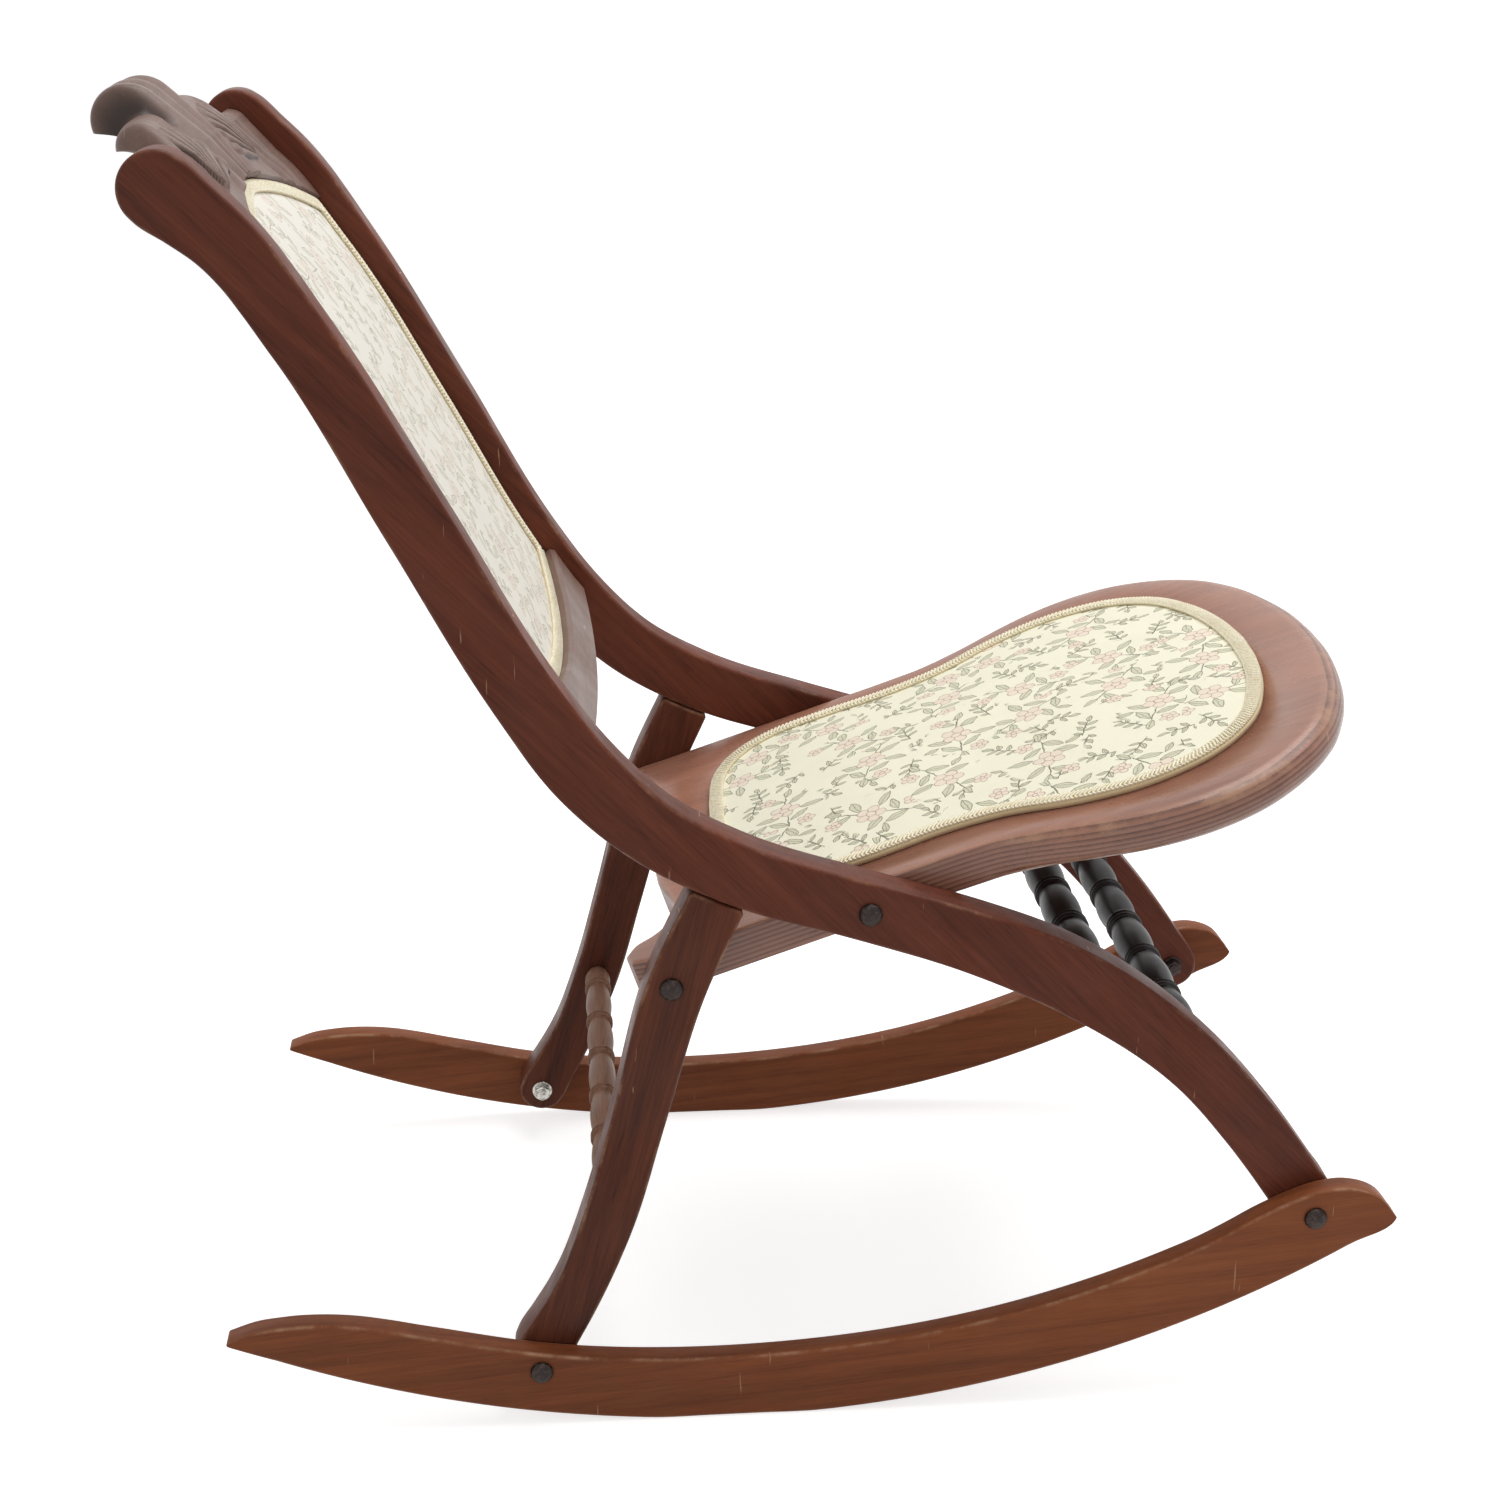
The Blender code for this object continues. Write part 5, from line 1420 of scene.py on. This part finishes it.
class CHAIR_OT_braids(bpy.types.Operator):
    """Makes the scroll braid round the seat's and the back's upholstery"""

    bl_idname = "chair.braids"
    bl_label = "Braids"

    def execute(self, context):
        cloth = settings("cloth")
        scroll, finish = scroll_tree(), braid_finish("braid_thread")
        edge, floor = seat_pad_edge(BRAID_STEP)
        loop = inset(edge, cloth.gimp_w / 2)
        path = np.array([seat_place(p, floor + cloth.seat_rim) for p in loop])
        across = np.array([SEAT_AHEAD * a + Vector((0.0, b, 0.0)) for a, b in mitres(loop)])
        rise = np.tile(np.array(SEAT_UP), (len(path), 1))
        braid("seat_braid", scroll, path, across, rise, cloth.seat_rim, finish, "seat", "seat_gimp")
        self.back_braid(cloth, scroll, finish)
        return {"FINISHED"}

    @staticmethod
    def back_braid(cloth, scroll, finish):
        half, step = PAD_HALF - cloth.gimp_w / 2, cloth.gimp_w / 2
        ys = np.linspace(-half, half, 80)
        high, low = pad_ends(ys)
        top, bottom = np.stack([ys, high + step], axis=1), np.stack([ys, low - step], axis=1)[::-1]
        downward = np.linspace(top[0, 1], bottom[-1, 1], 70)[1:-1]
        right = np.array([(half, s) for s in downward])
        left = np.array([(-half, s) for s in downward[::-1]])
        loop = np.vstack([top, right, bottom, left])
        points, ahead = back_line(loop[:, 1])
        down, _ = back_line(loop[:, 1] + 0.001)
        slope = (down - points) / 0.001
        xz = points + ahead * (back_face(loop[:, 1]) + 3 * cloth.gap + cloth.back_rim)[:, None]
        path = np.stack([xz[:, 0], loop[:, 0], xz[:, 1]], axis=1)
        lean = mitres(loop)
        across = np.stack([lean[:, 1] * slope[:, 0], lean[:, 0], lean[:, 1] * slope[:, 1]], axis=1)
        rise = np.stack([ahead[:, 0], np.zeros(len(ahead)), ahead[:, 1]], axis=1)
        braid("back_braid", scroll, path, across, rise, cloth.back_rim, finish, "back_frame", "back_gimp")


def upright(*point):
    return point


def add_nut(bm, low, high, radius):
    """A hexagon nut with chamfered corners, standing between two heights."""
    turns = np.linspace(0.0, 2 * math.pi, 24, endpoint=False)
    reach = radius * math.cos(math.pi / 6) / np.cos((turns + math.pi / 6) % (math.pi / 3) - math.pi / 6)
    chamfer = (reach - reach.min()) * 0.6
    rings = []
    for z, shrink, drop in ((low, 0.0, 0.0), (high, 0.0, 1.0), (high, 1.0, 0.0)):
        round_r = np.minimum(reach, reach.min() * 0.98) if shrink else reach
        rings.append([bm.verts.new((r * math.cos(a), r * math.sin(a), z - drop * (c + 0.0002)))
                      for r, a, c in zip(round_r, turns, chamfer)])
    capped(bm, rings)


class CHAIR_OT_hardware(bpy.types.Operator):
    """Sets the bolt heads, pivot screws, washers and nuts"""

    bl_idname = "chair.hardware"
    bl_label = "Hardware"

    def execute(self, context):
        metal = settings("metal")
        studs = stud_tree()
        iron, steel = iron_finish("black_iron"), steel_finish("plated_steel")
        feet, pivots = (FRONT_FOOT, REAR_FOOT), (SEAT_PIVOT, LEG_PIVOT)
        head, nut = self.head(metal), self.nut(metal)
        for name, shape, places, level, way, finish, body, slot, nodes in (
            ("foot_bolts", head, feet, ROCKER_OUT, 1, iron, "rockers", "black_iron",
             ("front_bolt", "rear_bolt")),
            ("pivot_screws", head, pivots, STILE_OUT, 1, iron, "seat", "black_iron",
             ("seat_screw", "leg_screw")),
            ("rear_foot_nuts", nut, feet[1:], STILE_IN, -1, steel, "rockers", "plated_steel",
             ("rear_washer", "rear_nut")),
            ("front_foot_nuts", nut, feet[:1], STILE_IN, -1, iron, "back_frame", "black_iron",
             ("front_washer", "front_nut")),
        ):
            spots = [(p.x, side * level, p.z) for p in places for _, side in SIDES]
            facing = [(0.0, side * way, 0.0) for _ in places for _, side in SIDES]
            values = {"Shape": shape, "Material": finish}
            mesh = grown_mesh(name, spots, [], {"facing": facing}, *studs, values)
            hidden = [f"{node}_{label}" for node in nodes for label, _ in SIDES]
            placed(name, mesh, finish, body, hidden)
        for shape in (head, nut):
            bpy.data.objects.remove(shape)
        return {"FINISHED"}

    @staticmethod
    def stamp(name, bm):
        """A loose shape that the node tree repeats."""
        mesh = smooth_mesh(name, bm)
        mesh.set_sharp_from_angle(angle=math.radians(35))
        obj = bpy.data.objects.new(name, mesh)
        bpy.context.scene.collection.objects.link(obj)
        return obj

    def head(self, metal):
        rows = [(-0.004, metal.shank_r), (SEATED, metal.shank_r), (SEATED, metal.head_r),
                (0.0010, metal.head_r * 1.01)]
        for t in np.radians(np.linspace(12.0, 88.0, 10)):
            rows.append((0.0008 + (metal.head_h - 0.0005) * math.sin(t), metal.head_r * math.cos(t)))
        bm = bmesh.new()
        turned(bm, rows, 32, upright)
        return self.stamp("head_shape", bm)

    def nut(self, metal):
        low = metal.washer_t + 2 * SEATED
        top = low + metal.nut_h
        eased = metal.washer_r * 0.97
        washer = [(SEATED, eased), (2 * SEATED, metal.washer_r), (metal.washer_t, metal.washer_r),
                  (metal.washer_t + SEATED, eased)]
        bm = bmesh.new()
        turned(bm, washer, 36, upright)
        add_nut(bm, low, top, metal.nut_r)
        tip = [(top - 0.001, metal.shank_r * 0.92)]
        for k in range(3):
            turn = top + 0.0004 * k
            tip += [(turn, metal.shank_r * 0.84), (turn + 0.0002, metal.shank_r * 0.93)]
        tip.append((top + metal.washer_t + SEATED, metal.shank_r * 0.75))
        turned(bm, tip, 24, upright)
        return self.stamp("nut_shape", bm)


class CHAIR_OT_stage(bpy.types.Operator):
    """Sets the camera, the floor and the lights"""

    bl_idname = "chair.stage"
    bl_label = "Stage"

    def execute(self, context):
        look = settings("stage")
        scene = context.scene
        scene.view_settings.view_transform = "Standard"
        camera = bpy.data.objects.new("camera", bpy.data.cameras.new("camera"))
        camera.data.lens = look.lens
        camera.data.sensor_width = 36.0
        camera.data.clip_end = 200.0
        ahead = Vector((math.sin(look.yaw) * math.cos(look.pitch), math.cos(look.yaw) * math.cos(look.pitch),
                        -math.sin(look.pitch)))
        camera.location = look.camera
        camera.rotation_euler = ahead.to_track_quat("-Z", "Y").to_euler()
        scene.collection.objects.link(camera)
        scene.camera = camera
        self.floor(look)
        self.world(look)
        self.lamp("key", look.key, look.key_size, look.key_at, look.aim)
        self.lamp("fill", look.fill, look.fill_size, look.fill_at, look.aim)
        return {"FINISHED"}

    @staticmethod
    def seen_share(net):
        """1 for what the camera, a mirror or glass sees, 0 for light."""
        path = net.tree.nodes.new("ShaderNodeLightPath")
        seen = net.math("ADD", path.outputs["Is Camera Ray"], path.outputs["Is Glossy Ray"])
        return net.math("ADD", seen, path.outputs["Is Transmission Ray"], clamp=True)

    def floor(self, look):
        mesh = bpy.data.meshes.new("floor")
        corners = [(x * FLOOR_REACH, y * FLOOR_REACH, 0.0) for x, y in ((-1, -1), (1, -1), (1, 1), (-1, 1))]
        mesh.from_pydata(corners, [], [(0, 1, 2, 3)])
        floor = bpy.data.objects.new("floor", mesh)
        bpy.context.scene.collection.objects.link(floor)
        material, net, sockets = new_finish("floor_white")
        sockets["Base Color"].default_value = (*look.floor, 1.0)
        sockets["Roughness"].default_value = 0.9
        sockets["Specular IOR Level"].default_value = 0.0
        sockets["Emission Color"].default_value = (1.0, 1.0, 1.0, 1.0)
        net.link(net.math("MULTIPLY", self.seen_share(net), look.glow), sockets["Emission Strength"])
        mesh.materials.append(material)

    def world(self, look):
        world = bpy.data.worlds.new("studio")
        world.use_nodes = True
        bpy.context.scene.world = world
        net = Wiring(world.node_tree)
        ground = world.node_tree.nodes["Background"]
        ground.inputs["Color"].default_value = (1.0, 1.0, 1.0, 1.0)
        net.link(net.ramp(self.seen_share(net), 0.0, 1.0, look.sky, 1.0), ground.inputs["Strength"])

    @staticmethod
    def lamp(name, watts, size, spot, aim):
        lamp = bpy.data.objects.new(name, bpy.data.lights.new(name, "AREA"))
        lamp.data.energy = watts
        lamp.data.size = size
        lamp.location = spot
        lamp.rotation_euler = (Vector(aim) - Vector(spot)).to_track_quat("-Z", "Y").to_euler()
        bpy.context.scene.collection.objects.link(lamp)


class CHAIR_PT_panel(bpy.types.Panel):
    """Lists the chair's pieces"""

    bl_idname = "CHAIR_PT_panel"
    bl_label = "Folding rocking chair"
    bl_space_type = "VIEW_3D"
    bl_region_type = "UI"
    bl_category = "Chair"

    def draw(self, context):
        for operator in OPERATORS:
            self.layout.operator(operator.bl_idname)


OPERATORS = (CHAIR_OT_rockers, CHAIR_OT_stiles, CHAIR_OT_stretchers, CHAIR_OT_seat_frame, CHAIR_OT_seat_pad,
             CHAIR_OT_back, CHAIR_OT_back_pad, CHAIR_OT_braids, CHAIR_OT_hardware, CHAIR_OT_stage)
LOOKS = {"wood": WoodLook, "crest": CrestSizes, "cloth": ClothLook, "metal": MetalLook, "stage": StageLook}


def register():
    for look in LOOKS.values():
        bpy.utils.register_class(look)
    for name, look in LOOKS.items():
        setattr(bpy.types.Scene, "chair_" + name, PointerProperty(type=look))
    for cls in (*OPERATORS, CHAIR_PT_panel):
        bpy.utils.register_class(cls)


def unregister():
    for cls in (CHAIR_PT_panel, *reversed(OPERATORS)):
        bpy.utils.unregister_class(cls)
    for name in LOOKS:
        delattr(bpy.types.Scene, "chair_" + name)
    for look in LOOKS.values():
        bpy.utils.unregister_class(look)


def main():
    register()
    for operator in OPERATORS:
        group, name = operator.bl_idname.split(".")
        getattr(getattr(bpy.ops, group), name)()


if __name__ == "__main__":
    main()
